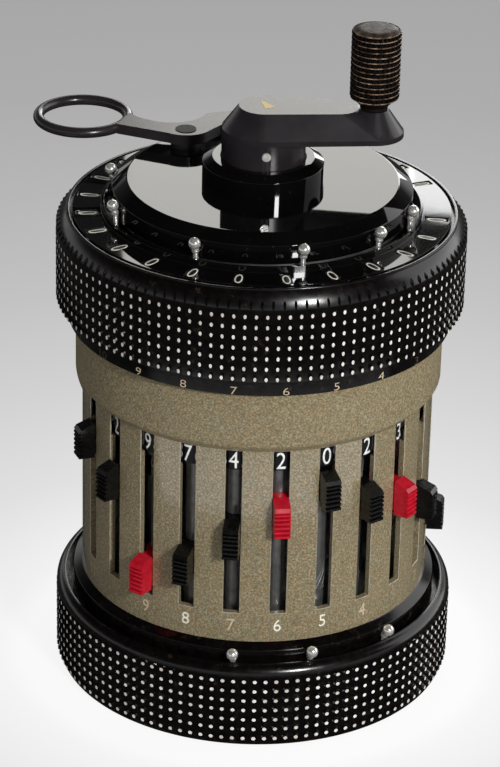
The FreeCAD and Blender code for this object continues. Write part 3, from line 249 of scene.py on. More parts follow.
def smooth(mesh, sharp_angle=35.0):
    """Smooth shading, with edges over an angle kept sharp."""
    mesh.shade_smooth()
    mesh.set_sharp_from_angle(angle=math.radians(sharp_angle))


def plain_mesh(name, form):
    """The mesh of a bmesh as it is. The bmesh is freed."""
    mesh = bpy.data.meshes.new(name)
    form.to_mesh(mesh)
    form.free()
    return mesh


def to_mesh(name, form):
    """Turns a bmesh in millimetres into a mesh in metres, with its faces outwards."""
    bmesh.ops.recalc_face_normals(form, faces=form.faces)
    bmesh.ops.scale(form, vec=(MM, MM, MM), verts=form.verts)
    return plain_mesh(name, form)


def merged(mesh, within):
    """A bmesh of a mesh, with the vertices merged that lie within a distance."""
    form = bmesh.new()
    form.from_mesh(mesh)
    bmesh.ops.remove_doubles(form, verts=form.verts, dist=within)
    return form


def rounded(corners):
    """A closed outline whose corners (x, y, radius) are replaced by arcs. A corner without a radius stays sharp."""
    outline = []
    count = len(corners)
    for index, corner in enumerate(corners):
        here = Vector(corner[:2])
        if len(corner) < 3:
            outline.append(here)
            continue
        back = (Vector(corners[index - 1][:2]) - here).normalized()
        ahead = (Vector(corners[(index + 1) % count][:2]) - here).normalized()
        half = back.angle(ahead) / 2
        reach = corner[2] / math.tan(half)
        centre = here + (back + ahead).normalized() * (corner[2] / math.sin(half))
        start = here + back * reach - centre
        sweep = start.angle_signed(here + ahead * reach - centre)
        steps = max(3, round(abs(math.degrees(sweep)) / 11))
        outline += [centre + Matrix.Rotation(-sweep * step / steps, 2) @ start for step in range(steps + 1)]
    return outline


def skin(form, rings):
    """Joins each ring of vertices to the next with faces, which are triangles where a ring is one point."""
    for ring, following in zip(rings, rings[1:]):
        for step in range(len(ring)):
            after = (step + 1) % len(ring)
            face = []
            for vert in (ring[step], ring[after], following[after], following[step]):
                if vert not in face:
                    face.append(vert)
            if len(face) > 2:
                form.faces.new(face)


def revolved(corners, steps=240):
    """A bmesh turned about Z. Its outline runs all round its section, as (radius, height, fillet) corners."""
    form = bmesh.new()
    rings = []
    for point in rounded(corners):
        if point.x < 1e-6:
            rings.append([form.verts.new((0, 0, point.y))] * steps)
        else:
            rings.append([form.verts.new(polar(point.x, 360 * step / steps, point.y)) for step in range(steps)])
    skin(form, rings + rings[:1])
    return form


def lathe(name, corners):
    """A turned piece's mesh."""
    return to_mesh(name, revolved(corners))


def placed(form, matrix):
    """Moves a bmesh to its place."""
    bmesh.ops.transform(form, matrix=matrix, verts=form.verts)
    return form


def evaluated(holder):
    """The mesh of an object after its modifiers. The object is removed."""
    graph = bpy.context.evaluated_depsgraph_get()
    mesh = bpy.data.meshes.new_from_object(holder.evaluated_get(graph))
    bpy.data.objects.remove(holder)
    return mesh


def modified(mesh, kind, **settings):
    """A mesh after a modifier with some settings."""
    holder = in_scene(mesh.name, mesh)
    modifier = holder.modifiers.new(kind, kind)
    for key, value in settings.items():
        setattr(modifier, key, value)
    return evaluated(holder)


def joined(name, forms):
    """One mesh of several bmeshes."""
    whole = bmesh.new()
    for form in forms:
        part = plain_mesh(name, form)
        whole.from_mesh(part)
        bpy.data.meshes.remove(part)
    return to_mesh(name, whole)


def merged_copy(node):
    """A bmesh of a CAD node in metres, with its doubles merged and its flats made whole."""
    form = merged(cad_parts[node].data, 2e-6)
    bmesh.ops.dissolve_limit(form, angle_limit=math.radians(0.6), verts=form.verts, edges=form.edges)
    return form


def softened(name, form, width):
    """The mesh of a bmesh in metres, its sharp edges rounded by a small bevel."""
    bevelled = modified(plain_mesh(name, form), "BEVEL", width=width * MM, segments=2, limit_method="ANGLE",
                        angle_limit=math.radians(30))
    smooth(bevelled, 40)
    return modified(bevelled, "WEIGHTED_NORMAL", weight=100, keep_sharp=True)


# Numerals: a flat text is made a thin solid, cut into narrow strips, and laid on a surface

STRIP = 0.3


def numeral(number, height, weight, thickness, breadth):
    """A bmesh of flat figures in millimetres, centred, that height, upright in x and y, with z as thickness.

    The font's own figures are made broader or narrower by a factor.
    """
    curve = bpy.data.curves.new("figures", "FONT")
    curve.body = str(number)
    curve.align_x = "CENTER"
    curve.align_y = "CENTER"
    curve.resolution_u = 4
    curve.offset = weight
    curve.extrude = 0.5
    mesh = evaluated(in_scene("figures", curve))
    form = merged(mesh, 1e-5)
    bpy.data.meshes.remove(mesh)
    xs = [vert.co.x for vert in form.verts]
    ys = [vert.co.y for vert in form.verts]
    scale = height / (max(ys) - min(ys))
    middle = Vector(((max(xs) + min(xs)) / 2, (max(ys) + min(ys)) / 2, 0))
    for vert in form.verts:
        x, y, z = vert.co - middle
        vert.co = (x * scale * breadth, y * scale, z * thickness)
    return form


def in_strips(form):
    """Cuts flat figures into narrow upright strips, so that they can follow a curve."""
    bmesh.ops.triangulate(form, faces=form.faces)
    reach = max(abs(vert.co.x) for vert in form.verts)
    strips = int(reach / STRIP) + 1
    for strip in range(-strips, strips + 1):
        bmesh.ops.bisect_plane(form, geom=form.verts[:] + form.edges[:] + form.faces[:], dist=1e-5,
                               plane_co=(strip * STRIP, 0, 0), plane_no=(1, 0, 0))
    bmesh.ops.triangulate(form, faces=form.faces)
    return form


def on_drum(form, radius, bearing, height, centre=Vector((0, 0, 0))):
    """Wraps upright figures round the outside of an upright cylinder."""
    for vert in in_strips(form).verts:
        x, y, z = vert.co
        vert.co = centre + polar(radius + z, bearing + math.degrees(x / radius), height + y)
    return form


# Materials

HOUSING_SPAN = 62.0
COAT_THINS = (50.6, 51.2)   # the heights between which the clear coat thins


def hammered_paint():
    """Olive paint with a hammered skin under a clear coat, thin on the collar. The edges of the slots are paler, a
    painted highlight.
    """
    paint = Paint("hammered_paint", Specular_IOR_Level=0.3, Coat_Roughness=0.10, Coat_IOR=1.7)
    paint.feed("Coat Weight", paint.along(paint.axes()[2], HOUSING_SPAN, (COAT_THINS[0], 1.0), (COAT_THINS[1], 0.12)))
    grain = paint.noise(3300, 3, 0.6)
    hue = paint.noise(1200, 3, 0.6)
    brown = paint.ramp(grain, (0.30, (0.165, 0.116, 0.053)), (0.50, (0.262, 0.196, 0.101)),
                       (0.70, (0.44, 0.36, 0.22)))
    green = paint.ramp(grain, (0.30, (0.140, 0.120, 0.064)), (0.50, (0.232, 0.202, 0.122)),
                       (0.70, (0.40, 0.365, 0.25)))
    painted = paint.mix(paint.ramp(hue, (0.38, 0.0), (0.62, 1.0)), brown, green)
    # Painted highlight: the slopes at the slot edges are mixed towards a pale tone, in uneven patches.
    paler_share = paint.attribute("bare") * paint.ramp(paint.noise(700, 3), (0.35, 0.35), (0.6, 0.9))
    paint.feed("Base Color", paint.mix(paler_share, painted, (0.62, 0.60, 0.52)))
    paint.feed("Roughness", grain * 0.3 + 0.35)
    paint.bump(grain, 0.05)
    return paint.material


HEIGHT_SPAN = 100.0
# Heights, with how far the finish there is that of a shoulder
SHOULDERS = ((12.3, 0.0), (12.7, 1.0), (14.4, 1.0), (14.7, 0.0), (76.0, 0.0), (76.4, 1.0), (78.8, 1.0), (79.1, 0.0))


def knurled_lacquer():
    """Black lacquer over turned metal, duller on the shoulders. The tops of the studs are worn to bare metal."""
    paint = Paint("knurled_lacquer", Specular_IOR_Level=0.5)
    wear = paint.noise(900, 2)
    bare = paint.attribute("bare")
    scuffs = paint.ramp(paint.noise(520, 5, 0.75), (0.60, 0.0), (0.70, 1.0))
    lacquer = paint.mix(scuffs * 0.10, paint.ramp(wear, (0.4, (0.0020, 0.0012, 0.0012)),
                                                 (0.7, (0.0045, 0.0030, 0.0030))), (0.28, 0.20, 0.14))
    metal_tone = paint.ramp(paint.noise(260, 3), (0.40, (0.72, 0.66, 0.60)), (0.60, (1.0, 0.98, 0.95)))
    paint.feed("Base Color", paint.mix(bare, lacquer, metal_tone))
    paint.feed("Metallic", bare * 0.2)
    shoulder = paint.along(paint.axes()[2], HEIGHT_SPAN, *SHOULDERS)
    paint.feed("Roughness", bare * 0.25 + wear * 0.12 + shoulder * 0.05 + 0.10)
    paint.bump(paint.noise(5000, 2), 0.003)
    return paint.material


def gloss_black():
    """Polished black, with faint swirls from wiping and a little dust."""
    paint = Paint("gloss_black", Specular_IOR_Level=0.5)
    cloud = paint.noise(120, 4, 0.6)
    dust = paint.ramp(paint.noise(1500, 3, 0.6), (0.66, 0.0), (0.74, 1.0)) * cloud
    black = paint.ramp(cloud, (0.3, 0.0015), (0.7, 0.003))
    paint.feed("Base Color", paint.mix(dust * 0.12, black, (0.30, 0.27, 0.22)))
    paint.feed("Roughness", paint.noise(700, 3) * 0.04 + dust * 0.15 + 0.02)
    paint.bump(paint.noise(400, 2), 0.001)
    return paint.material


def satin_black(name, dark, light, roughness):
    """Satin black enamel, a little cloudy."""
    paint = Paint(name, Specular_IOR_Level=0.5)
    cloud = paint.noise(260, 2)
    paint.feed("Base Color", paint.ramp(cloud, (0.3, dark), (0.7, light)))
    paint.feed("Roughness", cloud * 0.03 + roughness)
    return paint.material


def moulded_plastic(name, dark, light, roughness):
    """Moulded plastic, a little mottled, with a fine skin."""
    paint = Paint(name, Specular_IOR_Level=0.45)
    cloud = paint.noise(800, 3)
    paint.feed("Base Color", paint.ramp(cloud, (0.3, dark), (0.7, light)))
    paint.feed("Roughness", cloud * 0.15 + roughness)
    paint.bump(paint.noise(2400, 2), 0.003)
    return paint.material


def worn_knob():
    """Black knob with brown grime and rubbed brass between its rows of studs. A painted reflection pales its top."""
    paint = Paint("worn_knob", Specular_IOR_Level=0.2)
    # The share of brass tone: rubbed brass on the seams, and a weaker share on the top that is a painted reflection.
    paler_share = paint.attribute("bare") * paint.ramp(paint.noise(650, 4, 0.7), (0.40, 0.12), (0.60, 1.0))
    metal_tone = paint.ramp(paint.noise(1100, 3), (0.35, (0.12, 0.078, 0.050)), (0.65, (0.50, 0.34, 0.23)))
    paint.feed("Base Color", paint.mix(paler_share, (0.006, 0.0035, 0.003), metal_tone))
    paint.feed("Roughness", paint.noise(1500, 2) * 0.15 + 0.42)
    paint.bump(paint.noise(2600, 2), 0.006)
    return paint.material


def metal(name, tone, roughness, mark_pitch):
    """Turned metal, with the fine rings that the tool left round the drum's axis and along it."""
    paint = Paint(name, Metallic=1.0)
    height = paint.axes()[2]
    rings = (paint.radius() + height) * (TURN / (mark_pitch * MM))
    marks = paint.math("SINE", rings) * 0.5 + 0.5
    cloud = paint.noise(300, 3)
    darker = tuple(part * 0.8 for part in tone)
    paint.feed("Base Color", paint.ramp(cloud, (0.3, darker), (0.7, tone)))
    paint.feed("Roughness", cloud * 0.12 + roughness)
    paint.bump(marks, 0.004)
    return paint.material


ROLL_FOOT = 46.7


def roll_black():
    """Dull black of the digit rolls and the number dials. The setting shafts below the rolls are dark steel."""
    paint = Paint("roll_black", Specular_IOR_Level=0.4)
    cloud = paint.noise(900, 3)
    roll = paint.along(paint.axes()[2], HEIGHT_SPAN, (ROLL_FOOT - 0.1, 0.0), (ROLL_FOOT, 1.0))
    steel = paint.ramp(cloud, (0.3, 0.20), (0.7, 0.30))
    paint.feed("Base Color", paint.mix(roll, steel, paint.ramp(cloud, (0.3, 0.003), (0.7, 0.007))))
    paint.feed("Metallic", (1.0 - roll) * 0.8)
    paint.feed("Roughness", cloud * 0.15 + 0.3)
    return paint.material


def even_finish(name, tone, roughness=0.5, metallic=0.0):
    """An even finish, a little cloudy, as of the paint that fills numerals."""
    paint = Paint(name, Roughness=roughness, Metallic=metallic, Specular_IOR_Level=0.3)
    cloud = paint.noise(2500, 3)
    darker = tuple(part * 0.82 for part in tone)
    paint.feed("Base Color", paint.ramp(cloud, (0.35, darker), (0.6, tone)))
    return paint.material


HAMMERED = hammered_paint()
LACQUER = knurled_lacquer()
GLOSS = gloss_black()
ARM_ENAMEL = satin_black("arm_enamel", (0.016, 0.0135, 0.0155), (0.024, 0.0205, 0.023), 0.24)
WINDOW = satin_black("window_black", 0.0015, 0.0035, 0.02)
SCREW_BLACK = satin_black("screw_black", (0.0015, 0.0015, 0.0015), (0.004, 0.004, 0.004), 0.55)
BLACK_PLASTIC = moulded_plastic("black_plastic", (0.0015, 0.0013, 0.0012), (0.0045, 0.004, 0.004), 0.2)
RED_PLASTIC = moulded_plastic("red_plastic", (0.40, 0.004, 0.014), (0.60, 0.008, 0.028), 0.16)
KNOB_WEAR_AND_SHEEN = worn_knob()
KNOB_BLACK = satin_black("knob_black", (0.003, 0.002, 0.002), (0.007, 0.005, 0.0045), 0.12)
BRIGHT_STEEL = metal("bright_steel", (0.88, 0.87, 0.83), 0.10, 0.05)
BEAD_STEEL = even_finish("bead_steel", (0.96, 0.94, 0.90), roughness=0.18, metallic=0.75)
GROOVE_HIGHLIGHT_PAINT = even_finish("groove_steel", (0.80, 0.80, 0.77), roughness=0.25, metallic=0.4)
MACHINED_STEEL = metal("machined_steel", (0.55, 0.54, 0.52), 0.28, 0.12)
ALUMINIUM = metal("machined_aluminium", (0.72, 0.72, 0.70), 0.32, 0.15)
ROLL = roll_black()
CREAM = even_finish("cream_numerals", (0.90, 0.86, 0.74))
# The dimmer numeral tones stand partly for wear and partly for painted shade.
WORN_AND_SHADED_CREAM = even_finish("worn_numerals", (0.62, 0.50, 0.34))
FAINT_CREAM = even_finish("faint_numerals", (0.30, 0.25, 0.165))
FAINT_BROWN = even_finish("faint_band_numerals", (0.075, 0.055, 0.038))
WHITE = even_finish("white_numerals", (0.95, 0.95, 0.93))
GOLD_PAINT = even_finish("gold_arrow", (0.88, 0.66, 0.30))

NODE_FINISH = {
    "knurled_black": LACQUER,
    "hammered_paint": HAMMERED,
    "gloss_black": GLOSS,
    "window_black": WINDOW,
    "black_plastic": BLACK_PLASTIC,
    "red_plastic": RED_PLASTIC,
    "bright_steel": BRIGHT_STEEL,
    "machined_steel": MACHINED_STEEL,
    "machined_aluminium": ALUMINIUM,
    "digit_black": ROLL,
}
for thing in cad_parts.values():
    for place in thing.material_slots:
        place.material = NODE_FINISH[place.material.name.split(".")[0]]


# Knurled rings: a turned core, and studs set on it in rows by a node tree

STUDS_AROUND = 120
STUD_ROWS = 7
STUD_HEIGHT = 0.42
STUD_SINK = 0.12
STUD_CORNER = 0.54   # from the middle of an eight-sided stud to a corner, for one unit across
KNURL_INPUTS = {
    "Int": ("Studs Around", "Rows"),
    "Float": ("Phase", "Core Radius", "First Row", "Row Pitch", "Stud Height", "Top Width", "Top Height", "Foot Share"),
    "Material": ("Finish",),
}


class Pattern(Nodes):
    """A geometry node tree under construction."""

    def __init__(self, name, inputs):
        super().__init__(bpy.data.node_groups.new(name, "GeometryNodeTree"))
        for kind, labels in inputs.items():
            for label in labels:
                self.tree.interface.new_socket(label, in_out="INPUT", socket_type="NodeSocket" + kind)
        self.tree.interface.new_socket("Geometry", in_out="OUTPUT", socket_type="NodeSocketGeometry")
        self.entry = self.tree.nodes.new("NodeGroupInput")
        self.exit = self.tree.nodes.new("NodeGroupOutput")

    def given(self, label):
        """One of the named inputs."""
        return Value(self, self.entry.outputs[label])

    def finish(self, shape):
        """Makes the instances real, gives them the finish that was given, and ends the tree."""
        real = self.node("GeometryNodeRealizeInstances", {}, shape)
        coated = self.node("GeometryNodeSetMaterial", {}, real, None, self.given("Finish"))
        self.tree.links.new(coated.socket, self.exit.inputs[0])
        return self.tree


def knurl_tree():
    """Studs with broken corners in rows round a ring. Their flat tops carry the attribute bare."""
    tree = Pattern("knurl_studs", KNURL_INPUTS)
    around = tree.given("Studs Around")
    index = tree.node("GeometryNodeInputIndex", {})
    row = tree.math("FLOOR", index / around)
    bearing = (index - row * around) * TURN / around + tree.given("Phase")
    radius = tree.given("Core Radius")
    east = radius * tree.math("SINE", bearing)
    north = 0.0 - radius * tree.math("COSINE", bearing)
    height = tree.given("First Row") + row * tree.given("Row Pitch")
    line = tree.node("GeometryNodeMeshLine", {}, around * tree.given("Rows"))
    place = tree.node("ShaderNodeCombineXYZ", {}, east, north, height)
    points = tree.node("GeometryNodeSetPosition", {}, line, None, place)
    stud = tree.node("GeometryNodeMeshCone", {}, 8, 1, 1, STUD_CORNER, tree.given("Foot Share") * STUD_CORNER,
                     tree.given("Stud Height"))
    marked = tree.node("GeometryNodeStoreNamedAttribute", {"data_type": "FLOAT", "domain": "FACE"},
                       stud, None, "bare", stud.output("Top"))
    squared = tree.node("GeometryNodeTransform", {}, marked, Rotation=(0.0, 0.0, math.pi / 8))
    size = tree.node("ShaderNodeCombineXYZ", {}, tree.given("Top Width"), tree.given("Top Height"), 1.0)
    sized = tree.node("GeometryNodeTransform", {}, squared, Scale=size)
    lean = tree.node("ShaderNodeCombineXYZ", {}, math.pi / 2, 0.0, bearing)
    studs = tree.node("GeometryNodeInstanceOnPoints", {}, points, Instance=sized, Rotation=lean)
    return tree.finish(studs)


KNURL = knurl_tree()


def grown(name, tree, **sizes):
    """The plain mesh that a node tree makes from named sizes."""
    holder = in_scene(name, bpy.data.meshes.new(name))
    modifier = holder.modifiers.new(name, "NODES")
    modifier.node_group = tree
    for item in tree.interface.items_tree:
        if item.in_out == "INPUT":
            modifier[item.identifier] = sizes[item.name.replace(" ", "_")]
    return evaluated(holder)


def studs(name, radius, first_row, row_pitch, top, phase=0.0, rows=STUD_ROWS, finish=LACQUER):
    """The studs of a knurled ring, whose tops stand at a radius. A top is (width, height)."""
    height = (STUD_HEIGHT + STUD_SINK) * MM
    return grown(name, KNURL, Studs_Around=STUDS_AROUND, Rows=rows, Phase=math.radians(phase),
                 Core_Radius=radius * MM - height, First_Row=first_row * MM, Row_Pitch=row_pitch * MM,
                 Stud_Height=height, Top_Width=top[0] * MM, Top_Height=top[1] * MM, Foot_Share=2.0, Finish=finish)


def arc(centre, radius, start, end, steps=8):
    """Points of an outline along an arc. Angles are in degrees, from the first axis to the second."""
    turns = [math.radians(start + (end - start) * step / steps) for step in range(steps + 1)]
    return [(centre[0] + radius * math.cos(turn), centre[1] + radius * math.sin(turn)) for turn in turns]


# Base ring

BASE_RADIUS = high("base_ring").x
BASE_CORE = BASE_RADIUS - STUD_HEIGHT

base_core = lathe("base_ring_core", [
    (29.4, 0.0, 0.1), (31.9, 0.0, 0.25), (BASE_CORE, 0.5, 0.1), (BASE_CORE, 12.25, 0.1),
    *arc((30.5, 12.6), 1.94, 0, 65),
    (31.2, 14.5), (30.85, 14.5, 0.12), (30.85, 11.9), (29.7, 11.9), (29.6, 15.95, 0.14), (28.3, 16.72, 0.15),
    (28.2, 16.82), (28.2, 13.4), (24.0, 13.4), (24.0, 10.4), (29.4, 10.4),
])
smooth(base_core, 25)
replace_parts(add_piece("base_ring_core", base_core, LACQUER, "root"), "base_ring")
base_knurl = studs("base_ring_knurl", BASE_RADIUS, first_row=1.5, row_pitch=1.735, top=(0.62, 0.58), phase=-0.94)
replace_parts(add_piece("base_ring_knurl", base_knurl, LACQUER, "root"), "base_ring")


# Housing: a tube with a flared collar. The flare starts lower at the sides than above the slots.

HOUSING_RADIUS = 28.2
HOUSING_BORE = 27.2
COLLAR_RADIUS = 29.27
HOUSING_FOOT = 13.4
HOUSING_TOP = 61.1
SLOT_WIDTH = 2.6
SLOT_BOTTOM = 21.85
SLOT_TOP = 50.5
FRONT_FLARE = (50.55, 52.0)
SIDE_FLARE = (48.4, 52.2)
FLARE_TURNS_FROM = 78.0
FLARE_TURNS_TO = 86.0
FLARE_STEPS = 8
HOUSING_STEPS = 360
ROLL_ROOM_RADIUS = 27.95
ROLL_ROOM = (46.6, 50.7)
REAR_SLOT = (29.0, 41.0)
CUT_MIDDLE = HOUSING_RADIUS - 0.4
CUT_DEPTH = 5.0
HIGHLIT_EDGE_WIDTH = 0.09


def flare_heights(bearing):
    """Where the flare starts and ends at a bearing."""
    off_front = abs((bearing + 180) % 360 - 180)
    share = min(1.0, max(0.0, (off_front - FLARE_TURNS_FROM) / (FLARE_TURNS_TO - FLARE_TURNS_FROM)))
    share = share * share * (3 - 2 * share)
    return [front + (side - front) * share for front, side in zip(FRONT_FLARE, SIDE_FLARE)]


def housing_tube():
    """The tube's bmesh, before its slots are cut."""
    form = bmesh.new()
    rings = []
    shares = [step / FLARE_STEPS for step in range(FLARE_STEPS + 1)]
    for step in range(HOUSING_STEPS):
        bearing = 360 * step / HOUSING_STEPS
        foot, top = flare_heights(bearing)
        outline = [(HOUSING_BORE, HOUSING_FOOT), (HOUSING_RADIUS, HOUSING_FOOT)]
        outline += [(HOUSING_RADIUS + (COLLAR_RADIUS - HOUSING_RADIUS) * share ** 1.4 * (2 - share ** 1.4),
                     foot + (top - foot) * share) for share in shares]
        outline += [(COLLAR_RADIUS, HOUSING_TOP - 0.15), (COLLAR_RADIUS - 0.15, HOUSING_TOP),
                    (HOUSING_BORE, HOUSING_TOP), (HOUSING_BORE, ROLL_ROOM[1]), (ROLL_ROOM_RADIUS, ROLL_ROOM[1]),
                    (ROLL_ROOM_RADIUS, ROLL_ROOM[0]), (HOUSING_BORE, ROLL_ROOM[0])]
        rings.append([form.verts.new(polar(radius, bearing, height)) for radius, height in outline])
    for ring, following in zip(rings, rings[1:] + rings[:1]):
        for index in range(len(ring)):
            after = (index + 1) % len(ring)
            form.faces.new((ring[index], following[index], following[after], ring[after]))
    return form


def slot_cutter():
    """One mesh of the blocks that cut the slots."""
    form = bmesh.new()
    cuts = [(slot_bearing(slot), SLOT_BOTTOM, SLOT_TOP) for slot in SLOTS] + [(180.0, *REAR_SLOT)]
    for bearing, bottom, top in cuts:
        size = Matrix.Diagonal((SLOT_WIDTH, CUT_DEPTH, top - bottom, 1.0))
        place = Matrix.Translation(polar(CUT_MIDDLE, bearing, (bottom + top) / 2))
        bmesh.ops.create_cube(form, matrix=place @ Matrix.Rotation(math.radians(bearing), 4, "Z") @ size)
    return to_mesh("slot_cutter", form)


def mark_rubbed_edges(mesh, width):
    """Breaks the outer edges of the slots, and marks the small slopes for a painted highlight."""
    form = merged(mesh, 1e-7)
    paler_share = form.faces.layers.float.new("bare")
    edges = [edge for edge in form.edges
             if len(edge.link_faces) == 2 and edge.calc_face_angle() > math.radians(60)
             and all((HOUSING_RADIUS - 0.05) * MM < vert.co.to_2d().length and
                     (SLOT_BOTTOM - 1) * MM < vert.co.z < (SLOT_TOP + 0.04) * MM for vert in edge.verts)]
    made = bmesh.ops.bevel(form, geom=edges, offset=width * MM, segments=1, affect="EDGES", clamp_overlap=True)
    for face in made["faces"]:
        face[paler_share] = 1.0
    form.to_mesh(mesh)
    form.free()


cutter = in_scene("slot_cutter", slot_cutter())
housing_mesh = modified(to_mesh("housing_form", housing_tube()), "BOOLEAN", operation="DIFFERENCE", object=cutter,
                        solver="EXACT")
bpy.data.objects.remove(cutter)
mark_rubbed_edges(housing_mesh, HIGHLIT_EDGE_WIDTH)
smooth(housing_mesh, 30)
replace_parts(add_piece("housing_form", housing_mesh, HAMMERED, "root"), "housing")


# Spring on the guide tube. It hangs from its cap, and the carriage squeezes it by its whole lift.

SPRING_TOP = high("carriage_spring").z
SPRING_LENGTH = SPRING_TOP - low("carriage_spring").z
SPRING_WIRE = 0.5
SPRING_TURNS = 6.0
SPRING_GAP = 0.1
SPRING_SIDE_GAP = 0.6
COIL_INPUTS = {
    "Float": ("Turns", "Coil Radius", "Coil Length", "Coil Foot", "Wire Radius"),
    "Material": ("Finish",),
}


def coil_tree():
    """A coil of round wire that stands on a foot height."""
    tree = Pattern("coil", COIL_INPUTS)
    radius = tree.given("Coil Radius")
    path = tree.node("GeometryNodeCurveSpiral", {}, 32, tree.given("Turns"), radius, radius, tree.given("Coil Length"))
    wire = tree.node("GeometryNodeCurvePrimitiveCircle", {}, 10, None, None, None, tree.given("Wire Radius"))
    coil = tree.node("GeometryNodeCurveToMesh", {}, path, wire, Fill_Caps=True)
    lift = tree.node("ShaderNodeCombineXYZ", {}, 0.0, 0.0, tree.given("Coil Foot"))
    return tree.finish(tree.node("GeometryNodeTransform", {}, coil, Translation=lift))


spring_mesh = grown("carriage_spring_form", coil_tree(), Turns=SPRING_TURNS,
                    Coil_Radius=(high("carriage_spring").x - SPRING_SIDE_GAP - SPRING_WIRE) * MM,
                    Coil_Length=(SPRING_LENGTH - 2 * (SPRING_WIRE + SPRING_GAP)) * MM,
                    Coil_Foot=(low("carriage_spring").z + SPRING_WIRE + SPRING_GAP) * MM,
                    Wire_Radius=SPRING_WIRE * MM, Finish=MACHINED_STEEL)
spring_form = merged(spring_mesh, 1e-7)
bmesh.ops.recalc_face_normals(spring_form, faces=spring_form.faces)
spring_mesh = plain_mesh("carriage_spring_form", spring_form)
smooth(spring_mesh, 50)
spring = add_piece("carriage_spring_form", spring_mesh, MACHINED_STEEL, "root")
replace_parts(spring, "carriage_spring")
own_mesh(spring)


# Carriage ring

CARRIAGE_RADIUS = high("carriage_ring").x
CARRIAGE_CORE = CARRIAGE_RADIUS - STUD_HEIGHT
BAND_RADIUS = 30.5
SHOULDER_RADIUS = 6.5
SHOULDER_START = 16
SHOULDER_END = 43
SHOULDER_TOP = (30.85, 78.94)
shoulder_centre = (SHOULDER_TOP[0] - SHOULDER_RADIUS * math.cos(math.radians(SHOULDER_END)),
                   SHOULDER_TOP[1] - SHOULDER_RADIUS * math.sin(math.radians(SHOULDER_END)))

carriage_core = lathe("carriage_ring_core", [
    (28.6, 61.2, 0.05), (BAND_RADIUS, 61.2, 0.15), (BAND_RADIUS, 64.15, 0.08), (CARRIAGE_CORE, 64.15, 0.12),
    *arc(shoulder_centre, SHOULDER_RADIUS, SHOULDER_START, SHOULDER_END),
    (30.8, 79.25, 0.2), (30.3, 79.25, 0.08), (30.3, 78.6), (29.3, 78.6), (29.3, 66.0), (28.6, 66.0),
])
smooth(carriage_core, 25)
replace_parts(add_piece("carriage_ring_core", carriage_core, LACQUER, "carriage"), "carriage_ring")
carriage_knurl = studs("carriage_ring_knurl", CARRIAGE_RADIUS, first_row=64.89, row_pitch=1.725, top=(0.46, 0.66))
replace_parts(add_piece("carriage_ring_knurl", carriage_knurl, LACQUER, "carriage"), "carriage_ring")
run_out = studs("carriage_run_out", CARRIAGE_RADIUS - 0.05, first_row=76.85, row_pitch=1.725, top=(0.30, 0.8),
                phase=180 / STUDS_AROUND, rows=1, finish=GLOSS)
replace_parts(add_piece("carriage_run_out", run_out, GLOSS, "carriage"), "carriage_ring")


# Window plate: the CAD plate with its windows, thinned from below so that the dials stand close under them

PLATE_THIN_FROM = 24.9
PLATE_UNDERSIDE = 78.6
PLATE_THIN_UNDERSIDE = 79.04
PLATE_EDGE = 0.05
plate_form = merged_copy("window_plate")
for vert in plate_form.verts:
    if vert.co.to_2d().length > PLATE_THIN_FROM * MM and vert.co.z < (PLATE_UNDERSIDE + 0.1) * MM:
        vert.co.z = PLATE_THIN_UNDERSIDE * MM
plate = add_piece("window_plate_form", softened("window_plate_form", plate_form, PLATE_EDGE), WINDOW,
                  "carriage")
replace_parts(plate, "window_plate")


# Number dials

COUNTER_DIALS = 8
RESULT_DIALS = 15
FIRST_RESULT_BEARING = 75.0
FIRST_COUNTER_BEARING = -150.0
DIAL_AXIS_HEIGHT = 75.7
DIAL_RADIUS = 3.5
DIAL_INNER = 25.75
DIAL_OUTER = 29.0
DIAL_AXLE_RADIUS = 0.5
DIAL_AXLE_INNER = 22.1
result_bearings = [FIRST_RESULT_BEARING - index * SLOT_PITCH for index in range(RESULT_DIALS)]
counter_bearings = [FIRST_COUNTER_BEARING - index * SLOT_PITCH for index in range(COUNTER_DIALS)]


def dial(bearing):
    """One drum on its axle, laid along a bearing."""
    form = revolved([(0.0, DIAL_AXLE_INNER), (DIAL_AXLE_RADIUS, DIAL_AXLE_INNER), (DIAL_AXLE_RADIUS, DIAL_INNER),
                     (DIAL_RADIUS, DIAL_INNER, 0.08), (DIAL_RADIUS, DIAL_OUTER, 0.08), (0.0, DIAL_OUTER)], 48)
    lay = Matrix.Rotation(math.radians(bearing), 4, "Z") @ Matrix.Rotation(math.radians(90), 4, "X")
    return placed(form, Matrix.Translation((0, 0, DIAL_AXIS_HEIGHT)) @ lay)


dials_mesh = joined("number_dial_drums", [dial(bearing) for bearing in result_bearings + counter_bearings])
smooth(dials_mesh, 30)
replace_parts(add_piece("number_dial_drums", dials_mesh, ROLL, "carriage"), "number_dials")


# Clearing plate

disc = lathe("clearing_disc", [
    (6.7, 83.1), (22.5, 83.1), (22.5, 80.0), (23.6, 80.0, 0.1), (23.6, 83.0, 0.15), (21.4, 84.3, 0.1),
    (21.2, 84.3), (9.7, 84.3), (9.54, 84.3), (9.54, 87.15, 0.12), (8.0, 88.0, 0.12), (6.7, 88.0, 0.1),
])
smooth(disc, 20)
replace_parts(add_piece("clearing_disc", disc, GLOSS, "clearing"), "clearing_plate")


# Crank knob: a ribbed core with the studs of its knurl, moved to its place on the arm

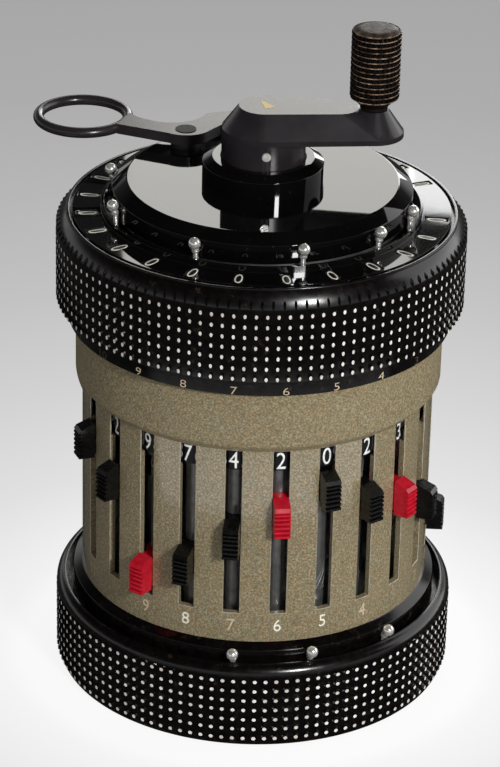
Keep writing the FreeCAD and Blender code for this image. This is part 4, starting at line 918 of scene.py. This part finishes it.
KNOB_CENTRE = (low("crank_knob") + high("crank_knob")) / 2
KNOB_RADIUS = 3.85
KNOB_BORE = 1.6
KNOB_BORE_TOP = 107.9
KNOB_NECK = 2.16
KNOB_FOOT = 96.45
KNOB_RIB_BOTTOM = 98.4
KNOB_RIB_PITCH = 0.83
KNOB_RIBS = 13
KNOB_TOP = 109.6
KNOB_TEETH = 30
KNOB_CORE = 3.5
KNOB_TOOTH_FOOT = 3.45
KNOB_SEAM_RADIUS = 3.74
KNOB_SEAM_FOOT = 0.13   # half of a seam's height at its foot, and at its crest
KNOB_SEAM_CREST = 0.08
KNOB_SHEEN_FROM = KNOB_TOP - 0.9
KNOB_TOP_SHEEN = 0.25
knob_place = Matrix.Translation((KNOB_CENTRE.x, KNOB_CENTRE.y, 0))
knob_corners = [(KNOB_BORE, KNOB_FOOT), (KNOB_NECK, KNOB_FOOT, 0.1), (KNOB_NECK, 97.0, 0.2),
                (KNOB_CORE, KNOB_RIB_BOTTOM - 0.1)]
for rib in range(KNOB_RIBS + 1):
    seam = KNOB_RIB_BOTTOM + KNOB_RIB_PITCH * rib
    knob_corners += [(KNOB_CORE, seam - KNOB_SEAM_FOOT), (KNOB_SEAM_RADIUS, seam - KNOB_SEAM_CREST),
                     (KNOB_SEAM_RADIUS, seam + KNOB_SEAM_CREST), (KNOB_CORE, seam + KNOB_SEAM_FOOT)]
knob_corners += [(3.55, KNOB_TOP - 0.42), (2.7, KNOB_TOP, 1.4), (0.0, KNOB_TOP), (0.0, KNOB_BORE_TOP),
                 (KNOB_BORE, KNOB_BORE_TOP)]
knob_form = revolved(knob_corners, 64)
seam_wear_and_top_sheen = knob_form.faces.layers.float.new("bare")
# The seams carry rubbed brass. Faces near the top get a small share of it as a painted reflection.
for face in knob_form.faces:
    middle = face.calc_center_median()
    on_seam = middle.to_2d().length > (KNOB_CORE + KNOB_SEAM_RADIUS) / 2
    face[seam_wear_and_top_sheen] = 1.0 if on_seam else KNOB_TOP_SHEEN * (middle.z > KNOB_SHEEN_FROM)
knob_core = to_mesh("crank_knob_core", placed(knob_form, knob_place))
smooth(knob_core, 25)
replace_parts(add_piece("crank_knob_core", knob_core, KNOB_WEAR_AND_SHEEN, "knob"), "crank_knob")
knob_knurl = grown("crank_knob_knurl", KNURL, Studs_Around=KNOB_TEETH, Rows=KNOB_RIBS, Phase=0.0,
                   Core_Radius=KNOB_TOOTH_FOOT * MM, First_Row=(KNOB_RIB_BOTTOM + KNOB_RIB_PITCH / 2) * MM,
                   Row_Pitch=KNOB_RIB_PITCH * MM, Stud_Height=(KNOB_RADIUS - KNOB_TOOTH_FOOT) * MM,
                   Top_Width=0.48 * MM, Top_Height=0.42 * MM, Foot_Share=1.45, Finish=KNOB_BLACK)
knob_knurl.transform(Matrix.Translation(knob_place.translation * MM))
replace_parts(add_piece("crank_knob_knurl", knob_knurl, KNOB_BLACK, "knob"), "crank_knob")


# Bead markers: a ball on a stem that leans out of its track

BALL_RADIUS = 0.95
STEM_RADIUS = 0.56
PEG_RADIUS = 0.42


def bead(bearing, ball, foot, root):
    """A bead whose ball and foot are (radius, height), and whose foot stands on a peg down to the root height."""
    start = polar(foot[0], bearing, foot[1])
    lean = polar(ball[0], bearing, ball[1]) - start
    reach = lean.length
    outline = [(0.0, 0.0), (STEM_RADIUS, 0.0, 0.15), (STEM_RADIUS * 1.15, reach * 0.25),
               (PEG_RADIUS, reach * 0.55), *arc((0.0, reach), BALL_RADIUS, -60, 90, 10)]
    turned = Matrix.Translation(start) @ lean.to_track_quat("Z", "Y").to_matrix().to_4x4()
    peg = revolved([(0.0, root), (PEG_RADIUS, root), (PEG_RADIUS, foot[1] + 0.1), (0.0, foot[1] + 0.3)], 16)
    peg_place = Matrix.Translation(polar(foot[0], bearing, 0))
    return [placed(revolved(outline, 24), turned), placed(peg, peg_place)]


BEAD_ROWS = {
    "lower": ((-13.6, 9.7, 35.9), (31.3, 16.15), (30.3, 14.7), 12.2),
    "upper": ((-111.4, -76.9, -32.2, 6.9, 39.0, 62.3), (24.75, 82.7), (24.3, 81.2), 79.3),
}
for row, (bearings, ball, foot, root) in BEAD_ROWS.items():
    for number, bearing in enumerate(bearings, start=1):
        node = "%s_bead_%d" % (row, number)
        mesh = joined(node + "_form", bead(bearing, ball, foot, root))
        smooth(mesh, 50)
        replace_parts(add_piece(node + "_form", mesh, BEAD_STEEL, "%s_marker_%d" % (row, number)), node)


# CAD forms whose edges are softened

SOFT_EDGES = {
    "crank_arm": (0.16, ARM_ENAMEL, "crank", "gloss_black"),
    "clearing_lever": (0.22, ARM_ENAMEL, "lever", "gloss_black"),
    "reversing_lever": (0.15, BLACK_PLASTIC, "reversing", "black_plastic"),
    "pivot_screw": (0.08, SCREW_BLACK, "clearing", "gloss_black"),
}
SCREW_HEAD_TOP = 87.15
for node, (width, paint, body, slot) in SOFT_EDGES.items():
    form = merged_copy(node)
    if node == "pivot_screw":
        for vert in form.verts:
            vert.co.z = min(vert.co.z, SCREW_HEAD_TOP * MM)
    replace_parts(add_piece(node + "_form", softened(node + "_form", form, width), paint, body), node)


# Setting sliders

KNOB_INNER = HOUSING_RADIUS + 0.1
VALLEY = 30.7
VALLEY_DEEPER = 0.35
KNOB_TOP_SHARE = 0.86
KNOB_FACE_TOP = 2.2
KNOB_TOP_SET_BACK = 0.4
SLIDER_MIDDLE = 43.75
DIGIT_PITCH = 1.95
SLIDER_EDGE = 0.13


def slider_copy(slot, shown):
    """A slider whose knob is a little lower than the CAD knob, with deeper serrations."""
    form = merged_copy("setting_slider_%02d" % slot)
    outwards = polar(1.0, slot_bearing(slot), 0)
    middle = (SLIDER_MIDDLE - DIGIT_PITCH * shown) * MM
    for vert in form.verts:
        reach = vert.co.dot(outwards) / MM
        if reach > KNOB_INNER:
            if abs(reach - VALLEY) < 0.05:
                vert.co -= outwards * (VALLEY_DEEPER * MM)
            if reach > VALLEY and vert.co.z > middle + KNOB_FACE_TOP * MM:
                vert.co -= outwards * (KNOB_TOP_SET_BACK * MM)
            if vert.co.z > middle:
                vert.co.z = middle + (vert.co.z - middle) * KNOB_TOP_SHARE
    return form


for slot, shown in zip(SLOTS, SLOT_DIGITS):
    node = "setting_slider_%02d" % slot
    plastic = "red_plastic" if slot in RED_SLOTS else "black_plastic"
    mesh = softened(node + "_form", slider_copy(slot, shown), SLIDER_EDGE)
    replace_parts(add_piece(node + "_form", mesh, NODE_FINISH[plastic], "setting_%02d" % slot), node)


# Strips on the edges of the spiral grooves, bright as a painted highlight inside the slots

ROLL_CIRCLE = 24.55
SHAFT_RADIUS = 1.6
GROOVE_LEAD = 19.5
GROOVE_SHARE = 27.0
EDGE_STEPS = 60
EDGE_SPAN = (24.2, 46.0)
EDGE_SECTION = ((-0.05, -12.0), (0.02, -12.0), (0.02, 12.0), (-0.05, 12.0))   # rise over the shaft, and bearing


def groove_edge(slot, shown, side):
    """A narrow bright strip, a painted highlight, that winds round a setting shaft beside its groove."""
    form = bmesh.new()
    centre = polar(ROLL_CIRCLE, slot_bearing(slot), 0)
    level = SLIDER_MIDDLE - DIGIT_PITCH * shown
    rings = []
    for step in range(EDGE_STEPS + 1):
        height = EDGE_SPAN[0] + (EDGE_SPAN[1] - EDGE_SPAN[0]) * step / EDGE_STEPS
        bearing = slot_bearing(slot) + 360 * (height - level) / GROOVE_LEAD + side * GROOVE_SHARE
        rings.append([form.verts.new(centre + polar(SHAFT_RADIUS + rise, bearing + offset, height))
                      for rise, offset in EDGE_SECTION])
    skin(form, rings)
    form.faces.new(rings[0])
    form.faces.new(rings[-1])
    return form


for slot, shown in zip(SLOTS, SLOT_DIGITS):
    name = "groove_edges_%02d" % slot
    mesh = joined(name, [groove_edge(slot, shown, side) for side in (-1, 1)])
    smooth(mesh)
    add_piece(name, mesh, GROOVE_HIGHLIGHT_PAINT, "digit_%02d" % slot)


# Numerals and the crank's arrow

ROLL_RADIUS = 2.95
ROLL_HEIGHT = 48.6
DIGIT_TURN = 36.0
DIGIT_LEAD = 0.21
DIAL_DIGIT_REACH = 27.5
BAND_NUMERAL_HEIGHT = 61.98
SLOT_NUMERAL_HEIGHT = 19.7
CLEAR_SLOTS = (5, 6, 8)
RUBBED_AND_SHADED_SLOTS = (4, 7, 9)
WORN_AND_SHADED_SLOTS = (1, 2, 3, 10, 11)
CLEAR_BAND = range(4, 10)


def on_dial(form, bearing, spin):
    """Wraps figures round the number dial at a bearing. Their feet point away from the drum's axis."""
    for vert in in_strips(form).verts:
        x, y, z = vert.co
        angle = math.radians(spin) + x / DIAL_RADIUS
        rise = (DIAL_RADIUS + z) * math.cos(angle)
        sideways = polar((DIAL_RADIUS + z) * math.sin(angle), bearing + 90, 0)
        vert.co = polar(DIAL_DIGIT_REACH - y, bearing, DIAL_AXIS_HEIGHT + rise) + sideways
    return form


def place_numerals(name, forms, paint, body):
    """Makes one piece of several figures."""
    mesh = joined(name, forms)
    smooth(mesh)
    return add_piece(name, mesh, paint, body)


# Numerals under the slots go dimmer away from the front: partly wear, partly painted shade.
for name, paint, wanted in (("slot_numerals", CREAM, CLEAR_SLOTS), ("rubbed_slot_numerals", WORN_AND_SHADED_CREAM, RUBBED_AND_SHADED_SLOTS),
                            ("worn_slot_numerals", FAINT_CREAM, WORN_AND_SHADED_SLOTS)):
    place_numerals(name, [
        on_drum(numeral(slot, height=2.1, weight=0.0, thickness=0.07, breadth=0.92), HOUSING_RADIUS,
                slot_bearing(slot), SLOT_NUMERAL_HEIGHT)
        for slot in wanted
    ], paint, "root")

# Band numerals away from the front are darkened: partly wear, partly painted shade under the knurled ring.
band_numerals = [(index + 1, bearing, clear and index + 1 in CLEAR_BAND)
                 for bearings, clear in ((result_bearings, True), (counter_bearings, False))
                 for index, bearing in enumerate(bearings)]
for name, paint, wanted in (("band_numerals", WORN_AND_SHADED_CREAM, True), ("worn_band_numerals", FAINT_BROWN, False)):
    place_numerals(name, [
        on_drum(numeral(figure, height=1.25, weight=-0.01, thickness=0.07, breadth=1.3), BAND_RADIUS, bearing,
                BAND_NUMERAL_HEIGHT)
        for figure, bearing, clear in band_numerals if clear == wanted
    ], paint, "carriage")

place_numerals("dial_digits", [
    on_dial(numeral(digit % 10, height=3.0, weight=-0.015, thickness=0.06, breadth=0.68), bearing, DIGIT_TURN * digit)
    for bearing in result_bearings + counter_bearings for digit in (-1, 0, 1)
], CREAM, "carriage")

for slot, shown in zip(SLOTS, SLOT_DIGITS):
    centre = polar(ROLL_CIRCLE, slot_bearing(slot), 0)
    place_numerals("roll_digits_%02d" % slot, [
        on_drum(numeral(digit, height=2.85, weight=0.0, thickness=0.06, breadth=0.8), ROLL_RADIUS,
                slot_bearing(slot) * (1 + DIGIT_LEAD) + DIGIT_TURN * (shown - digit), ROLL_HEIGHT, centre)
        for digit in range(10)
    ], WHITE, "digit_%02d" % slot)

ARROW_CORNERS = ((-0.44, 2.2), (1.56, -0.9), (-0.14, -1.6))
ARROW_FOOT = high("crank_arm").z - 0.05
ARROW_THICKNESS = 0.08
arrow_form = bmesh.new()
arrow_face = arrow_form.faces.new([arrow_form.verts.new((x, y, ARROW_FOOT)) for x, y in ARROW_CORNERS])
raised = bmesh.ops.extrude_face_region(arrow_form, geom=[arrow_face])["geom"]
bmesh.ops.translate(arrow_form, vec=(0, 0, ARROW_THICKNESS),
                    verts=[item for item in raised if isinstance(item, bmesh.types.BMVert)])
arrow_mesh = to_mesh("crank_arrow", arrow_form)
add_piece("crank_arrow", arrow_mesh, GOLD_PAINT, "crank")


# Camera, floor and light

CAMERA_PLACE = Vector((-68.91, -476.71, 286.20))
CAMERA_TURN = math.radians(-8.078)
CAMERA_TILT = math.radians(90 - 26.288)
CAMERA_ROLL = math.radians(1.387)
FLOOR_REACH = 3.0
FLOOR_GLOW = 0.88
MIRRORED_TONES = ((0.0, 0.03), (98.0, 0.04), (101.0, 1.0), (124.5, 1.0), (127.0, 0.04), (317.0, 0.04))
MIRRORED_FROM = -45.0
MIRRORED_ELSEWHERE = 0.04
FLOOR_TONES = ((0.0, 1.0), (38.0, 1.0), (42.0, 0.95), (65.0, 0.80), (100.0, 0.685), (142.0, 0.575),
               (193.0, 0.49), (251.0, 0.428), (317.0, 0.40))

camera_data = bpy.data.cameras.new("camera")
camera_data.lens = 156.47
camera_data.sensor_width = 36.0
camera_data.clip_start = 0.01
camera = in_scene("camera", camera_data)
camera.matrix_world = (Matrix.Translation(CAMERA_PLACE * MM) @ Matrix.Rotation(CAMERA_TURN, 4, "Z")
                       @ Matrix.Rotation(CAMERA_TILT, 4, "X") @ Matrix.Rotation(CAMERA_ROLL, 4, "Z"))
bpy.context.scene.camera = camera


def floor_paint():
    """Pale floor whose tone falls away from the object. Gloss mirrors a darker floor with a pale ring on it."""
    paint = Paint("floor", Roughness=0.9, Specular_IOR_Level=0.0)
    reach = FLOOR_TONES[-1][0]
    tone = paint.along(paint.radius(), reach, *FLOOR_TONES)
    in_front = paint.math("LESS_THAN", paint.axes()[1], MIRRORED_FROM * MM)
    mirrored = paint.mix(in_front, MIRRORED_ELSEWHERE, paint.along(paint.radius(), reach, *MIRRORED_TONES))
    paint.feed("Base Color", tone)
    rays = paint.node("ShaderNodeLightPath", {}, output="Is Camera Ray")
    seen = paint.node("ShaderNodeEmission", {}, tone, 1.0)
    in_gloss = paint.node("ShaderNodeEmission", {}, mirrored, 1.0)
    base = paint.node("ShaderNodeMixShader", {}, rays * FLOOR_GLOW, paint.reflected(), seen)
    paint.surface(paint.node("ShaderNodeMixShader", {}, rays.output("Is Glossy Ray"), base, in_gloss))
    return paint.material


floor_mesh = bpy.data.meshes.new("floor")
floor_corners = [(FLOOR_REACH * x, FLOOR_REACH * y, 0) for x, y in ((-1, -1), (1, -1), (1, 1), (-1, 1))]
floor_mesh.from_pydata(floor_corners, [], [(0, 1, 2, 3)])
floor_mesh.materials.append(floor_paint())
floor = in_scene("floor", floor_mesh)


def area_lamp(name, place, width, height, energy, tint=(1.0, 1.0, 1.0)):
    """A soft lamp that looks at the top of the object."""
    data = bpy.data.lights.new(name, "AREA")
    data.shape = "RECTANGLE"
    data.size = width
    data.size_y = height
    data.energy = energy
    data.color = tint
    lamp = in_scene(name, data)
    aim = Vector((0, 0, 0.06)) - Vector(place)
    lamp.matrix_world = Matrix.Translation(place) @ aim.to_track_quat("-Z", "Y").to_matrix().to_4x4()


area_lamp("key_lamp", (0.22, -0.64, 0.40), 0.09, 0.09, 4.0)
area_lamp("right_lamp", (0.90, 0.25, 0.35), 0.90, 0.80, 3.6)
area_lamp("back_panel", (0.1035, 0.70, 0.40), 0.113, 0.32, 0.361, (1.0, 0.99, 0.94))
area_lamp("back_window", (0.259, 0.68, 0.254), 0.198, 0.26, 0.95)


# World: light from all round. Gloss mirrors it pale round the horizon and dark overhead.

WORLD_TONE = 0.30
MIRRORED_WORLD = ((0.0, 0.65), (0.16, 0.6), (0.28, 0.08), (0.5, 0.01))
world = bpy.data.worlds.new("studio")
world.use_nodes = True
bpy.context.scene.world = world
sky = Nodes(world.node_tree)
direction = sky.node("ShaderNodeTexCoord", {}, output="Generated")
rise = sky.node("ShaderNodeSeparateXYZ", {}, direction).output("Z")
mirrored = sky.node("ShaderNodeValToRGB", {"stops": MIRRORED_WORLD}, rise)
glossy_ray = sky.node("ShaderNodeLightPath", {}, output="Is Glossy Ray")
air = sky.node("ShaderNodeMixRGB", {}, glossy_ray, colour(WORLD_TONE), mirrored)
backdrop = sky.node("ShaderNodeBackground", {}, air, 1.0)
sky.tree.links.new(backdrop.socket, sky.tree.nodes["World Output"].inputs["Surface"])

bpy.context.scene.view_settings.view_transform = "Standard"
